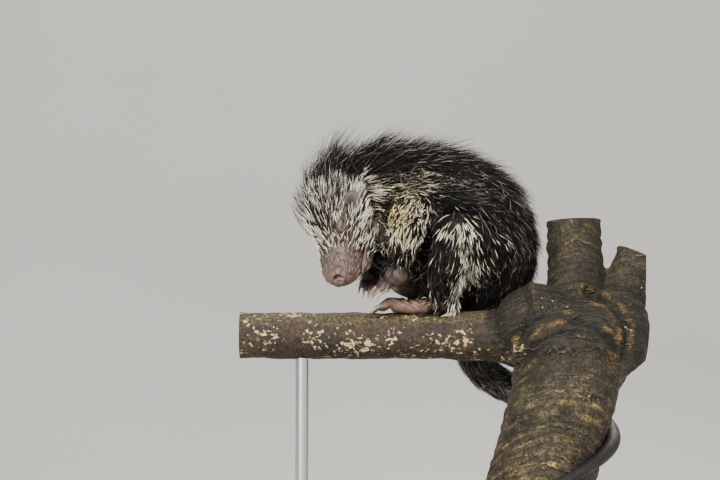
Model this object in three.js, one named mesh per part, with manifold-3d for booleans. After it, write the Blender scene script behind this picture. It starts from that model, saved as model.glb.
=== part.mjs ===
// A hairy dwarf porcupine hunched on a forked limb, life size, with its perch and display stand.
// Millimetres, +Z up, +Y away from the viewer's side. The animal faces -X with its left side to -Y.
// The animal and its perch are laid out in a frame of their own: Z = 0 is the top of the branch and
// Y = 0 the line of the branch. One group then lifts that frame above the base.
import * as THREE from 'three';
import { mergeVertices } from 'three/addons/utils/BufferGeometryUtils.js';
import Module from 'manifold-3d';

const wasm = await Module();
wasm.setup();

// Gap that neighbouring pieces keep, and its share where a flat cut already keeps half of it
const GAP = 0.3;
const COAT_GAP = 0.45;
const PLANE_SHARE = 0.9;

// Perch: a forked limb, its side branch level and its trunk leaning
const BRANCH = { radius: 22, left: -165, right: 118, flareFrom: 30, flare: 9 };
const TRUNK = { radius: 48, top: -6, bottom: -188, x: 153, lean: 0.29, tip: 0.12 };
const KNOB = { at: [143, -4, -24], size: [72, 54, 40], end: { at: [206, 0, -24], towards: [1, 0, 0] } };
const LUMPS = [
  { at: [106, -16, -10], size: [40, 32, 34] },
  { at: [178, -26, -14], size: [30, 24, 34] },
];
const STEMS = [
  { from: [146, 2, -22], to: [142, 4, 84], radius: 25, foot: 40 },
  { from: [168, 0, -22], to: [202, 2, 52], radius: 21, foot: 30 },
];

// Stand: a flat base with two upright rods
const BASE = { x: 30, y: 0, length: 340, width: 230, thick: 15, corner: 28, bevel: 1.5 };
const PERCH_HEIGHT = 232;
const ROD = { radius: 6, leftX: -108 };

// Directions of the head: towards the nose, the crown and the left cheek
const HEAD = {
  at: new THREE.Vector3(-71.6, -25, 94.9),
  nose: new THREE.Vector3(-0.12, -0.281, -0.952),
  crown: new THREE.Vector3(-0.934, -0.293, 0.205),
  left: new THREE.Vector3(0.337, -0.914, 0.227),
};
const EYE = { nose: 27, crown: 4, side: 21.5, radius: 5.2, lid: 1.6, slit: 0.8 };
const EAR = { nose: 5, crown: 1, side: 33.5, size: [9, 8, 6], wall: 1.4, turn: 24 };
const NOSTRIL = { nose: 73, crown: -3.5, side: 8, size: [4, 3.6, 1.7], turn: 35 };
const MOUTH = { nose: 53, crown: -23.2, size: [17, 0.9, 15], lips: [13.5, 2.9, 10] };

// Planes that part the neck from the torso and from the head, and the branch from the knob
const NECK_ROOT = { at: [-26, -5, 106], towards: [-0.94, -0.29, 0.18] };
const NECK_TOP = { at: [-60, -18, 104], towards: [-0.667, -0.423, -0.61] };
const BRANCH_ROOT = { at: [62, 0, -22], towards: [1, 0, 0] };

// Depth of the solid core of the coat over the flesh of each part
const CORE = { torso: 9, neck: 7, skull: 1.5, arm_upper: 3, arm_fore: 2, thigh: 4, shank: 3, tail_base: 2.5 };

const UP = new THREE.Vector3(0, 0, 1);
const vec = ([x, y, z]) => new THREE.Vector3(x, y, z);
const headPoint = (nose, crown, left) =>
  HEAD.at.clone().addScaledVector(HEAD.nose, nose).addScaledVector(HEAD.crown, crown)
    .addScaledVector(HEAD.left, left);
const degrees = THREE.MathUtils.degToRad;

// Closed geometry to solid and back
function toSolid(geometry) {
  const bare = new THREE.BufferGeometry();
  bare.setAttribute('position', geometry.getAttribute('position'));
  bare.setIndex(geometry.getIndex());
  const welded = mergeVertices(bare, 1e-4);
  const mesh = new wasm.Mesh({
    numProp: 3,
    vertProperties: new Float32Array(welded.getAttribute('position').array),
    triVerts: new Uint32Array(welded.getIndex().array),
  });
  return new wasm.Manifold(mesh);
}

function toGeometry(solid) {
  const mesh = solid.getMesh();
  const geometry = new THREE.BufferGeometry();
  geometry.setAttribute('position', new THREE.BufferAttribute(mesh.vertProperties, 3));
  geometry.setIndex(new THREE.BufferAttribute(mesh.triVerts, 1));
  geometry.computeVertexNormals();
  return geometry;
}

const join = (solids) => solids.reduce((whole, next) => whole.add(next));

// All space beyond a plane, as a big block
function beyond({ at, towards }, gap = 0) {
  const reach = 400;
  const block = new THREE.BoxGeometry(reach, reach, reach).translate(0, 0, reach / 2 + gap);
  const turn = new THREE.Quaternion().setFromUnitVectors(UP, vec(towards).normalize());
  return toSolid(block.applyQuaternion(turn).translate(...at));
}

// The same plane, facing the other way
const backOf = ({ at, towards }) => ({ at, towards: towards.map((part) => -part) });

// The largest closed surface of a solid
function largest(solid) {
  return solid.decompose().reduce((best, piece) => (piece.volume() > best.volume() ? piece : best));
}

// A soft form: oval rings set on a smooth line through its stations, with a round cap at each end.
// A station gives its place and the radius towards the back, the belly and the sides. The back
// points along `up`, or away from the point `focus`. `grow` moves the whole surface outwards.
class Form {
  constructor({ stations, up, focus, caps, around = 16, rows = 12, capRows = 2 }) {
    const radii = stations.map(({ high, low = high, wide = high }) => new THREE.Vector3(high, low, wide));
    this.line = new THREE.CatmullRomCurve3(stations.map(({ at }) => (at.isVector3 ? at : vec(at))));
    this.radii = new THREE.CatmullRomCurve3(radii);
    this.up = up;
    this.focus = focus;
    this.caps = caps;
    this.around = around;
    this.rows = rows;
    this.capShare = capRows / rows;
  }

  ring(u) {
    const centre = this.line.getPoint(u);
    const along = this.line.getTangent(u);
    const up = this.focus ? centre.clone().sub(this.focus) : this.up.clone();
    up.addScaledVector(along, -up.dot(along)).normalize();
    const side = new THREE.Vector3().crossVectors(along, up);
    return { centre, along, up, side, radius: this.radii.getPoint(u) };
  }

  place(t, angle, grow = 0) {
    const fromStart = Math.min(t / this.capShare, 1);
    const fromEnd = Math.min((1 - t) / this.capShare, 1);
    const u = THREE.MathUtils.clamp((t - this.capShare) / (1 - 2 * this.capShare), 0, 1);
    const { centre, along, up, side, radius } = this.ring(u);
    const scale = Math.sin(Math.min(fromStart, fromEnd) * Math.PI / 2);
    const back = Math.cos(fromStart * Math.PI / 2) * (this.caps[0] + grow);
    const ahead = Math.cos(fromEnd * Math.PI / 2) * (this.caps[1] + grow);
    const height = Math.cos(angle) * ((Math.cos(angle) > 0 ? radius.x : radius.y) + grow);
    return centre.addScaledVector(along, ahead - back)
      .addScaledVector(up, scale * height)
      .addScaledVector(side, scale * Math.sin(angle) * (radius.z + grow));
  }

  solid(grow = 0) {
    const ball = new THREE.SphereGeometry(1, this.around, this.rows);
    ball.deleteAttribute('normal');
    ball.deleteAttribute('uv');
    const welded = mergeVertices(ball, 1e-4);
    const spots = welded.getAttribute('position');
    const spot = new THREE.Vector3();
    for (let i = 0; i < spots.count; i += 1) {
      spot.fromBufferAttribute(spots, i).normalize();
      const t = Math.acos(THREE.MathUtils.clamp(spot.y, -1, 1)) / Math.PI;
      const moved = this.place(t, Math.atan2(spot.z, spot.x), grow);
      spots.setXYZ(i, moved.x, moved.y, moved.z);
    }
    return toSolid(welded);
  }
}

// An oval ball, sized and turned by the three directions given
function oval(at, size, axes, around = 16, rows = 10) {
  const ball = new THREE.SphereGeometry(1, around, rows);
  const basis = new THREE.Matrix4().makeBasis(...axes).scale(vec(size)).setPosition(at);
  if (basis.determinant() < 0) basis.scale(new THREE.Vector3(1, 1, -1));
  return toSolid(ball.applyMatrix4(basis));
}

const HEAD_AXES = [HEAD.nose, HEAD.crown, HEAD.left];

// Flesh of each part, as forms
const trunkAxis = (z) => new THREE.Vector3(TRUNK.x + TRUNK.lean * z, TRUNK.tip * z, z);

const torso = new Form({
  stations: [
    { at: [-30, -5, 108], high: 34, low: 30, wide: 33 },
    { at: [-10, 1, 101], high: 43, low: 38, wide: 42 },
    { at: [18, 9, 91], high: 49, low: 40, wide: 49 },
    { at: [43, 17, 77], high: 50, low: 34, wide: 51 },
    { at: [58, 25, 52], high: 45, low: 30, wide: 48 },
    { at: [62, 31, 26], high: 32, low: 24, wide: 38 },
  ],
  focus: new THREE.Vector3(8, 12, 30),
  caps: [8, 16],
  around: 22,
  rows: 14,
});

// The belly hangs between the thighs, down to the feet
const BELLY = { at: [19, 8, 50], size: [34, 31, 35] };
const WORLD_AXES = [new THREE.Vector3(1, 0, 0), new THREE.Vector3(0, 1, 0), UP];

function torsoSolid(grow) {
  const belly = oval(vec(BELLY.at), BELLY.size.map((reach) => reach + grow), WORLD_AXES, 14, 9);
  return torso.solid(grow + CORE.torso).add(belly);
}

const neck = new Form({
  stations: [
    { at: [-10, 0, 103], high: 39, low: 31, wide: 38 },
    { at: [-36, -8, 108], high: 34, low: 27, wide: 33 },
    { at: [-60, -18, 107], high: 28, low: 24, wide: 28 },
  ],
  focus: new THREE.Vector3(-30, -5, -40),
  caps: [6, 8],
  around: 18,
  rows: 9,
});

const headStation = (nose, crown, high, low, wide) => ({ at: headPoint(nose, crown, 0), high, low, wide });

const skull = new Form({
  stations: [
    headStation(-22, 0, 21, 20, 22),
    headStation(-8, 0, 28, 26, 30),
    headStation(8, 0, 29, 27, 31),
    headStation(22, -1, 26, 25, 27),
    headStation(34, -3, 21, 22, 22.5),
    headStation(46, -5, 18.5, 19, 19.5),
    headStation(60, -7, 17.5, 17.5, 18.5),
  ],
  up: HEAD.crown,
  caps: [9, 16],
  around: 18,
  rows: 13,
  capRows: 3,
});

const jaw = new Form({
  stations: [
    headStation(6, -15, 12, 13, 17),
    headStation(24, -21, 10, 11, 13.5),
    headStation(40, -25, 8, 9, 10.5),
    headStation(53, -28, 6, 6.5, 8),
  ],
  up: HEAD.crown,
  caps: [5, 5],
  around: 12,
  rows: 8,
});

// The two lids are a shell over the eyeball, parted by a narrow slit
function lids(side, grow) {
  const centre = headPoint(EYE.nose, EYE.crown, side * EYE.side);
  const outer = EYE.radius + GAP + EYE.lid + grow;
  return oval(centre, [outer * 1.12, outer, outer], HEAD_AXES, 12, 7);
}

function eyeOpening(side) {
  const centre = headPoint(EYE.nose, EYE.crown, side * EYE.side);
  const hollow = EYE.radius + GAP;
  const socket = oval(centre, [hollow, hollow, hollow], HEAD_AXES, 10, 7);
  const gape = headPoint(EYE.nose, EYE.crown - 0.4, side * (EYE.side + EYE.radius));
  return socket.add(oval(gape, [EYE.radius * 0.95, EYE.slit, 5], HEAD_AXES, 8, 5));
}

function eyeball(side) {
  const centre = headPoint(EYE.nose, EYE.crown, side * EYE.side);
  return oval(centre, [EYE.radius, EYE.radius, EYE.radius], HEAD_AXES, 10, 7);
}

// The bare patch round each eye, where no strand of the coat may pass
function eyeKeep(side) {
  const centre = headPoint(EYE.nose, EYE.crown, side * (EYE.side + 2));
  return oval(centre, [9, 8, 8], HEAD_AXES, 10, 7);
}

function nostril(side) {
  const turn = new THREE.Matrix4().makeRotationAxis(HEAD.nose, side * degrees(NOSTRIL.turn));
  const axes = HEAD_AXES.map((axis) => axis.clone().applyMatrix4(turn));
  return oval(headPoint(NOSTRIL.nose, NOSTRIL.crown, side * NOSTRIL.side), NOSTRIL.size, axes, 8, 5);
}

// The mouth is a thin cut between the nose bulb and the chin, through a flat oval that leaves a lip
// along either edge of it
function mouthCut() {
  return oval(headPoint(MOUTH.nose, MOUTH.crown, 0), MOUTH.size, HEAD_AXES, 14, 4);
}

function lips(grow) {
  const size = MOUTH.lips.map((reach) => reach + grow);
  return oval(headPoint(MOUTH.nose, MOUTH.crown, 0), size, HEAD_AXES, 12, 6);
}

function headSolid(grow) {
  const skullAndJaw = [FORMS.skull.solid(grow + CORE.skull), FORMS.jaw.solid(grow)];
  const whole = join([...skullAndJaw, lips(grow), lids(1, grow), lids(-1, grow)])
    .subtract(beyond(backOf(NECK_TOP), grow * PLANE_SHARE - GAP / 2));
  if (grow > 0) return whole;
  return [mouthCut(), ...[1, -1].flatMap((side) => [eyeOpening(side), nostril(side)])]
    .reduce((rest, cut) => rest.subtract(cut), whole);
}

// The ear is a small cup that opens outwards and a little towards the nose
function earSolid(side, grow) {
  const turn = new THREE.Matrix4().makeRotationAxis(HEAD.crown, -side * degrees(EAR.turn));
  const axes = HEAD_AXES.map((axis) => axis.clone().applyMatrix4(turn));
  const centre = headPoint(EAR.nose, EAR.crown, side * EAR.side);
  const outer = oval(centre, EAR.size.map((reach) => reach + grow), axes, 11, 6);
  if (grow > 0) return outer;
  const hollow = centre.clone().addScaledVector(axes[2], side * EAR.wall * 1.6);
  return outer.subtract(oval(hollow, EAR.size.map((reach) => reach - EAR.wall), axes, 8, 5));
}

// Limbs, one list for each side of the animal
const ARMS = {
  left: {
    shoulder: [-8, -32, 90], elbow: [-14, -61, 64], wrist: [-19, -46, 37], palm: [-25, -43, 27],
    fingers: [[-39, -42, 18], [-39, -38, 20], [-36, -46, 17], [-31, -49, 16]], reach: [-7, 2, -5],
  },
  right: {
    shoulder: [-8, 34, 88], elbow: [-22, 50, 58], wrist: [-43, 12, 34], palm: [-47, 0, 27],
    fingers: [[-54, -14, 23], [-50, -14, 20], [-46, -13, 19], [-42, -11, 18]], reach: [-2, -8, -5],
  },
};
const LEGS = {
  left: { hip: [60, -12, 54], knee: [32, -46, 72], shin: [26, -38, 42], ankle: [21, -17, 15], footY: -13 },
  right: { hip: [62, 54, 54], knee: [33, 84, 72], shin: [28, 62, 43], ankle: [22, 19, 15], footY: 13 },
};

const DOWN_BRANCH = new THREE.Vector3(-1, 0, 0);

function armForms({ shoulder, elbow, wrist }) {
  const upper = new Form({
    stations: [
      { at: shoulder, high: 19, wide: 17 },
      { at: vec(shoulder).lerp(vec(elbow), 0.55), high: 15, wide: 14 },
      { at: elbow, high: 11.5, wide: 11.5 },
    ],
    up: DOWN_BRANCH,
    caps: [12, 11],
    around: 12,
    rows: 8,
  });
  const fore = new Form({
    stations: [
      { at: vec(elbow).lerp(vec(wrist), 0.12), high: 11, wide: 10.5 },
      { at: vec(elbow).lerp(vec(wrist), 0.55), high: 9, wide: 8.5 },
      { at: wrist, high: 6.5, wide: 7 },
    ],
    up: DOWN_BRANCH,
    caps: [8, 5],
    around: 10,
    rows: 8,
  });
  return { upper, fore };
}

function legForms({ hip, knee, shin, ankle }) {
  const thigh = new Form({
    stations: [
      { at: hip, high: 29, wide: 24 },
      { at: vec(hip).lerp(vec(knee), 0.5), high: 25, wide: 20 },
      { at: knee, high: 16, wide: 15 },
    ],
    up: UP,
    caps: [14, 14],
    around: 16,
    rows: 9,
  });
  const shank = new Form({
    stations: [
      { at: vec(knee).lerp(vec(shin), 0.15), high: 16, wide: 15 },
      { at: shin, high: 17, low: 15, wide: 13 },
      { at: ankle, high: 11, wide: 9 },
    ],
    up: DOWN_BRANCH,
    caps: [9, 7],
    around: 12,
    rows: 8,
  });
  return { thigh, shank };
}

// One digit with its hooked claw, from `root` over `tip` and on along `reach`
function digit(root, tip, reach, thick, clawLength, grow) {
  const arch = new THREE.Vector3(0, 0, root.distanceTo(tip) * 0.22);
  const ahead = reach.clone().setLength(clawLength);
  const stations = [
    { at: root, high: thick },
    { at: root.clone().lerp(tip, 0.55).add(arch), high: thick * 0.92 },
    { at: tip, high: thick * 0.72 },
    { at: tip.clone().addScaledVector(ahead, 0.3).add(new THREE.Vector3(0, 0, 0.8)), high: thick * 0.42 },
    { at: tip.clone().addScaledVector(ahead, 0.65).add(new THREE.Vector3(0, 0, 0.4)), high: thick * 0.34 },
    { at: tip.clone().add(ahead).add(new THREE.Vector3(0, 0, -2.4)), high: 0.4 },
  ];
  const form = new Form({
    stations, up: new THREE.Vector3(0.1, 1, 0.3), caps: [thick, 0.5], around: 5, rows: 9, capRows: 1,
  });
  return form.solid(grow);
}

function handSolid({ wrist, palm, fingers, reach }, grow) {
  const heel = new Form({
    stations: [
      { at: vec(wrist).lerp(vec(palm), 0.25), high: 7, wide: 8 },
      { at: palm, high: 6.5, wide: 9 },
    ],
    up: UP,
    caps: [4, 5],
    around: 10,
    rows: 7,
  });
  const digits = fingers.map((tip, i) => {
    const root = vec(palm).lerp(vec(tip), 0.25);
    return digit(root, vec(tip), vec(reach), 3.1 - 0.15 * i, 12, grow);
  });
  return join([heel.solid(grow), ...digits]);
}

// The foot lies along the branch with its toes hooked over the front of it
const FOOT = { heelX: 27, toeX: -22, spread: 5.4, toeLength: 14, claw: 13 };

function footSolid({ footY }, grow) {
  const side = Math.sign(footY);
  const sole = new Form({
    stations: [
      { at: [FOOT.heelX, footY, 5], high: 7, low: 6, wide: 8 },
      { at: [14, footY, 5], high: 7, low: 7, wide: 9.5 },
      { at: [-4, footY, 4.5], high: 6.5, low: 7, wide: 10.5 },
      { at: [FOOT.toeX, footY, 4], high: 5.5, low: 7, wide: 10 },
    ],
    up: UP,
    caps: [6, 5],
    around: 12,
    rows: 8,
  });
  const toes = [0, 1, 2, 3].map((i) => {
    const across = (i - 1.5) * FOOT.spread;
    const bow = 4 - Math.abs(i - 1.4) * 1.6;
    const root = new THREE.Vector3(FOOT.toeX + 2, footY + side * across * 0.8, 5.5);
    const tip = new THREE.Vector3(FOOT.toeX - FOOT.toeLength - bow, footY + side * across, 3.2);
    const reach = new THREE.Vector3(-1, side * (i - 1.2) * 0.1, -0.35);
    return digit(root, tip, reach, 3.6 - 0.15 * i, FOOT.claw, grow);
  });
  return join([sole.solid(grow), ...toes]);
}

// Tail: down behind the branch, along behind the trunk, then round its right side to the front
const TAIL = { hang: [[57, 30, 12], [52, 41, -8], [49, 45, -28], [60, 48, -52], [88, 51, -70]] };
const COIL = { from: 96, to: -84, top: -78, drop: 82, steps: 9 };

function tailRadius(s) {
  return THREE.MathUtils.lerp(17, 4.2, s ** 0.72);
}

// Station of the part of the tail that grips the trunk, `turn` going from 0 to 1
function coilPoint(turn, radius) {
  const angle = degrees(THREE.MathUtils.lerp(COIL.from, COIL.to, turn));
  const centre = trunkAxis(COIL.top - COIL.drop * turn ** 1.15);
  const reach = TRUNK.radius + radius + GAP;
  return centre.add(new THREE.Vector3(Math.cos(angle), Math.sin(angle), 0).multiplyScalar(reach));
}

function tailStations() {
  const total = TAIL.hang.length + COIL.steps;
  const stations = TAIL.hang.map((at, i) => ({ at: vec(at), high: tailRadius(i / total) }));
  for (let i = 1; i <= COIL.steps; i += 1) {
    const high = tailRadius((TAIL.hang.length + i) / total);
    stations.push({ at: coilPoint(i / COIL.steps, high), high });
  }
  return stations;
}

function tailForm(from, to, caps, around, rows) {
  const stations = tailStations().slice(from, to);
  return new Form({ stations, focus: stations[0].at.clone().setY(-400), caps, around, rows });
}

const FORMS = { torso, neck, skull, jaw };
for (const side of ['left', 'right']) {
  const arm = armForms(ARMS[side]);
  const leg = legForms(LEGS[side]);
  FORMS[`arm_upper_${side}`] = arm.upper;
  FORMS[`arm_fore_${side}`] = arm.fore;
  FORMS[`thigh_${side}`] = leg.thigh;
  FORMS[`shank_${side}`] = leg.shank;
}
FORMS.tail_base = tailForm(0, 5, [8, 4], 14, 9);
FORMS.tail_mid = tailForm(4, 9, [2, 4], 11, 9);
FORMS.tail_end = tailForm(8, 14, [2, 4], 9, 12);

// Perch

function branchSolid(grow) {
  const length = BRANCH.right - BRANCH.left;
  const geometry = new THREE.CylinderGeometry(1, 1, length, 14, 9);
  const spots = geometry.getAttribute('position');
  for (let i = 0; i < spots.count; i += 1) {
    const x = spots.getY(i) + BRANCH.left + length / 2;
    const angle = Math.atan2(spots.getZ(i), spots.getX(i));
    const reach = Math.hypot(spots.getX(i), spots.getZ(i));
    const flare = BRANCH.flare * THREE.MathUtils.smoothstep(x, BRANCH.flareFrom, BRANCH.right);
    const knots = 0.9 * Math.sin(x * 0.11 + 1.3) + 0.6 * Math.sin(x * 0.05 + 2 * angle);
    const lumps = x < BRANCH.flareFrom - 80 || angle < 0 ? knots : 0;
    const radius = (BRANCH.radius + grow + flare + lumps) * reach;
    spots.setXYZ(i, x, -radius * Math.cos(angle), radius * Math.sin(angle) - BRANCH.radius);
  }
  return toSolid(geometry);
}

// A stem that leaves the knob upwards, thicker at its foot and sawn off square
function stemSolid({ from, to, radius, foot }, grow) {
  const way = vec(to).sub(vec(from));
  const profile = [0, 0.4, 1].map((share) => {
    const swell = (foot - radius) * (1 - share) ** 3;
    return new THREE.Vector2(radius + swell + grow, share * (way.length() + grow));
  });
  const outline = [new THREE.Vector2(0, 0), ...profile, new THREE.Vector2(0, way.length() + grow)];
  const stem = new THREE.LatheGeometry(outline, 14);
  const turn = new THREE.Quaternion().setFromUnitVectors(new THREE.Vector3(0, 1, 0), way.normalize());
  stem.applyQuaternion(turn);
  return toSolid(stem.translate(...from));
}

function trunkSolid(grow) {
  const height = TRUNK.top - TRUNK.bottom;
  const stem = new THREE.CylinderGeometry(1, 1, height, 22, 1);
  const spots = stem.getAttribute('position');
  for (let i = 0; i < spots.count; i += 1) {
    const z = spots.getY(i) + TRUNK.bottom + height / 2;
    const centre = trunkAxis(z);
    const radius = TRUNK.radius + grow;
    spots.setXYZ(i, centre.x + radius * spots.getX(i), centre.y - radius * spots.getZ(i), z);
  }
  const swellings = [KNOB, ...LUMPS].map(({ at, size }) =>
    oval(vec(at), size.map((reach) => reach + grow), WORLD_AXES, 16, 8));
  const stems = STEMS.map((upper) => stemSolid(upper, grow));
  return join([toSolid(stem), branchSolid(grow), ...swellings, ...stems]);
}

// Stand
function baseSolid() {
  const { length, width, corner, bevel, thick } = BASE;
  const plan = new THREE.Shape();
  const [x, y] = [length / 2 - bevel, width / 2 - bevel];
  plan.moveTo(-x + corner, -y);
  plan.lineTo(x - corner, -y);
  plan.absarc(x - corner, -y + corner, corner, -Math.PI / 2, 0);
  plan.lineTo(x, y - corner);
  plan.absarc(x - corner, y - corner, corner, 0, Math.PI / 2);
  plan.lineTo(-x + corner, y);
  plan.absarc(-x + corner, y - corner, corner, Math.PI / 2, Math.PI);
  plan.lineTo(-x, -y + corner);
  plan.absarc(-x + corner, -y + corner, corner, Math.PI, 1.5 * Math.PI);
  const plate = new THREE.ExtrudeGeometry(plan, {
    depth: thick - 2 * bevel, bevelEnabled: true, bevelThickness: bevel, bevelSize: bevel,
    bevelSegments: 1, curveSegments: 4,
  });
  return toSolid(plate.translate(BASE.x, BASE.y, bevel - PERCH_HEIGHT));
}

function rodSolid(x, y, top) {
  const bottom = BASE.thick - PERCH_HEIGHT + GAP;
  const rod = new THREE.CylinderGeometry(ROD.radius, ROD.radius, top - bottom, 16, 1);
  return toSolid(rod.rotateX(Math.PI / 2).translate(x, y, (top + bottom) / 2));
}

// Random numbers, the same in every run
let seed = 20261;
function random(low = 0, high = 1) {
  seed = (seed * 1664525 + 1013904223) % 4294967296;
  return low + (high - low) * (seed / 4294967296);
}

const STRAND_END = 0.955;

// The way of one lock or spine: it starts `sink` under the surface of its core, runs `length` along
// the lie and ends `rise` above the core. Returns its point at s from 0 to 1, or the flesh under it.
function strandWay(form, core, { t, angle, lie, length, sink, rise, bend }) {
  const step = 0.002;
  const here = form.place(t, angle, core);
  const perT = form.place(t + step, angle, core).distanceTo(here) / step;
  const perAngle = form.place(t, angle + step, core).distanceTo(here) / step;
  const runT = length * Math.cos(lie) / perT;
  const room = runT > 0 ? STRAND_END - t : t - 1 + STRAND_END;
  const share = Math.min(1, room / Math.abs(runT));
  const runAngle = share * length * Math.sin(lie) / perAngle;
  return (s, flat = false) => {
    const height = core - sink + (sink + rise) * Math.max(s, 0) ** bend;
    return form.place(t + share * runT * s, angle + runAngle * s, flat ? 0 : height);
  };
}

// One lock or spine: a cone laid along its way, flat against the form
function strand(way, { sides, steps, width, thick, taper }, grow) {
  const cone = new THREE.ConeGeometry(1, 1, sides, steps);
  cone.deleteAttribute('normal');
  cone.deleteAttribute('uv');
  const welded = mergeVertices(cone, 1e-4);
  const spots = welded.getAttribute('position');
  for (let i = 0; i < spots.count; i += 1) {
    const s = spots.getY(i) + 0.5;
    const spot = way(s);
    const along = way(s + 0.02).sub(way(s - 0.02)).normalize();
    const out = spot.clone().sub(way(s, true));
    const across = new THREE.Vector3().crossVectors(out, along).normalize();
    const over = new THREE.Vector3().crossVectors(across, along);
    const reach = Math.max(Math.hypot(spots.getX(i), spots.getZ(i)), 1e-9);
    const narrow = (1 - s) ** taper;
    const tip = s > 0.99;
    spot.addScaledVector(across, tip ? 0 : spots.getX(i) / reach * (width / 2 * narrow + grow))
      .addScaledVector(over, tip ? 0 : spots.getZ(i) / reach * (thick / 2 * narrow + grow))
      .addScaledVector(along, tip ? grow * 4 : 0);
    spots.setXYZ(i, spot.x, spot.y, spot.z);
  }
  return toSolid(welded);
}

// Roots spread evenly over a form, in staggered rows
function spread(form, core, { from, to, apart, grows = () => true, lie = () => 0 }) {
  const roots = [];
  const gap = 0.01;
  const reach = (t) => form.place(t + gap, 0, core).distanceTo(form.place(t - gap, 0, core)) / (2 * gap);
  let row = 0;
  for (let t = from; t < to; t += apart / reach(t)) {
    const round = Array.from({ length: 24 }, (_, i) => form.place(t, i * Math.PI / 12, core));
    const girth = round.reduce((sum, spot, i) => sum + spot.distanceTo(round[(i + 1) % 24]), 0);
    const count = Math.max(3, Math.round(girth / apart));
    for (let i = 0; i < count; i += 1) {
      const angle = ((i + 0.5 * (row % 2) + random(-0.25, 0.25)) / count) * 2 * Math.PI - Math.PI;
      const root = { t: t + random(-0.25, 0.25) * apart / reach(t), angle };
      if (grows(root)) roots.push({ ...root, lie: degrees(lie(root) + random(-14, 14)) });
    }
    row += 1;
  }
  return roots;
}

const LOCK = { sides: 4, steps: 3, taper: 0.75, bend: 1.25, width: 17, thick: 3.4, sink: 3.5 };
const SPINE = { sides: 3, steps: 2, taper: 0.85, bend: 1.1, width: 2.1, thick: 2.1, sink: 2 };
const TUFT = { ...LOCK, steps: 2, sink: 2.5 };
const backward = () => 180;
const belly = (root) => Math.abs(root.angle) > degrees(140);

// Where each part carries its locks and spines, and how long they are
const COATS = {
  torso: [
    {
      ...LOCK, width: 23, length: 52, rise: 11, from: 0.16, to: 0.93, apart: 30.5,
      grows: (root) => !belly(root), lie: (root) => 12 * Math.sin(root.angle),
    },
    { ...SPINE, length: 40, rise: 14, from: 0.18, to: 0.9, apart: 43, grows: (root) => !belly(root) },
  ],
  skull: [
    {
      ...LOCK, width: 17, thick: 3, length: 34, rise: 18, sink: 3, from: 0.13, to: 0.46, apart: 22,
      grows: (root) => Math.abs(root.angle) < degrees(62), lie: backward,
    },
    {
      ...SPINE, length: 13, rise: 4.5, from: 0.24, to: 0.72, apart: 13.5, width: 2, thick: 2, steps: 1,
      grows: (root) => root.t > 0.4 || Math.abs(root.angle) > degrees(62), lie: backward,
    },
  ],
  neck: [
    {
      ...LOCK, width: 22, length: 42, rise: 12, from: 0.3, to: 0.86, apart: 31, grows: (root) => !belly(root),
      lie: backward,
    },
    {
      ...SPINE, length: 30, rise: 14, from: 0.3, to: 0.86, apart: 33, grows: (root) => !belly(root),
      lie: backward,
    },
  ],
  arm_upper: [
    { ...TUFT, width: 16, thick: 2.8, length: 27, rise: 5, from: 0.3, to: 0.85, apart: 24 },
    { ...SPINE, steps: 1, length: 18, rise: 6, from: 0.3, to: 0.85, apart: 24 },
  ],
  arm_fore: [
    { ...TUFT, width: 9, thick: 2, length: 18, rise: 2.5, sink: 2, from: 0.25, to: 0.7, apart: 15 },
  ],
  thigh: [
    {
      ...TUFT, width: 16, thick: 3, length: 32, rise: 5, sink: 3, from: 0.3, to: 0.9, apart: 23,
      lie: () => 165,
    },
    { ...SPINE, steps: 1, length: 22, rise: 6, from: 0.25, to: 0.9, apart: 21, lie: () => 165 },
  ],
  shank: [
    { ...TUFT, width: 14, thick: 2.6, length: 24, rise: 3, from: 0.2, to: 0.75, apart: 22 },
  ],
  tail_base: [
    { ...TUFT, width: 14, thick: 2.8, length: 28, rise: 4, from: 0.25, to: 0.85, apart: 26 },
  ],
};

// Solids of all nodes. Each body gives way by the gap to the bodies before it.
const sides = ['left', 'right'];
const sign = { left: 1, right: -1 };
const stumpFoot = trunkAxis(TRUNK.bottom);
const flesh = (name, kind = name) => (grow) => FORMS[name].solid((CORE[kind] ?? 0) + grow);
const parted = (build, planes) => (grow) =>
  planes.reduce((rest, plane) => rest.subtract(beyond(plane, grow * PLANE_SHARE - GAP / 2)), build(grow));
const BUILDS = {
  stand_base: baseSolid,
  stand_rod_right: () => rodSolid(stumpFoot.x, stumpFoot.y, TRUNK.bottom - GAP),
  perch_trunk: parted(trunkSolid, [KNOB.end, backOf(BRANCH_ROOT)]),
  perch_branch: parted(branchSolid, [BRANCH_ROOT]),
  stand_rod_left: () => rodSolid(ROD.leftX, 0, -BRANCH.radius),
  torso: parted(torsoSolid, [NECK_ROOT]),
  head: headSolid,
  ear_left: (grow) => earSolid(sign.left, grow),
  ear_right: (grow) => earSolid(sign.right, grow),
  neck: parted(flesh('neck'), [backOf(NECK_ROOT), NECK_TOP]),
};
for (const kind of ['thigh', 'shank', 'arm_upper', 'arm_fore']) {
  sides.forEach((side) => { BUILDS[`${kind}_${side}`] = flesh(`${kind}_${side}`, kind); });
}
sides.forEach((side) => { BUILDS[`foot_${side}`] = (grow) => footSolid(LEGS[side], grow); });
sides.forEach((side) => { BUILDS[`hand_${side}`] = (grow) => handSolid(ARMS[side], grow); });
['tail_base', 'tail_mid', 'tail_end'].forEach((name) => { BUILDS[name] = flesh(name); });

const bodies = {};
const grownBodies = {};
for (const [name, build] of Object.entries(BUILDS)) {
  bodies[name] = largest(Object.values(grownBodies).reduce((rest, grown) => rest.subtract(grown), build(0)));
  grownBodies[name] = build(GAP);
}

// True where a point lies inside a solid: a ray from it leaves through an odd number of faces
function holds(solid, point) {
  const far = point.clone().add(new THREE.Vector3(900, 37, 23));
  return solid.rayCast(point.toArray(), far.toArray()).length % 2 === 1;
}

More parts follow.
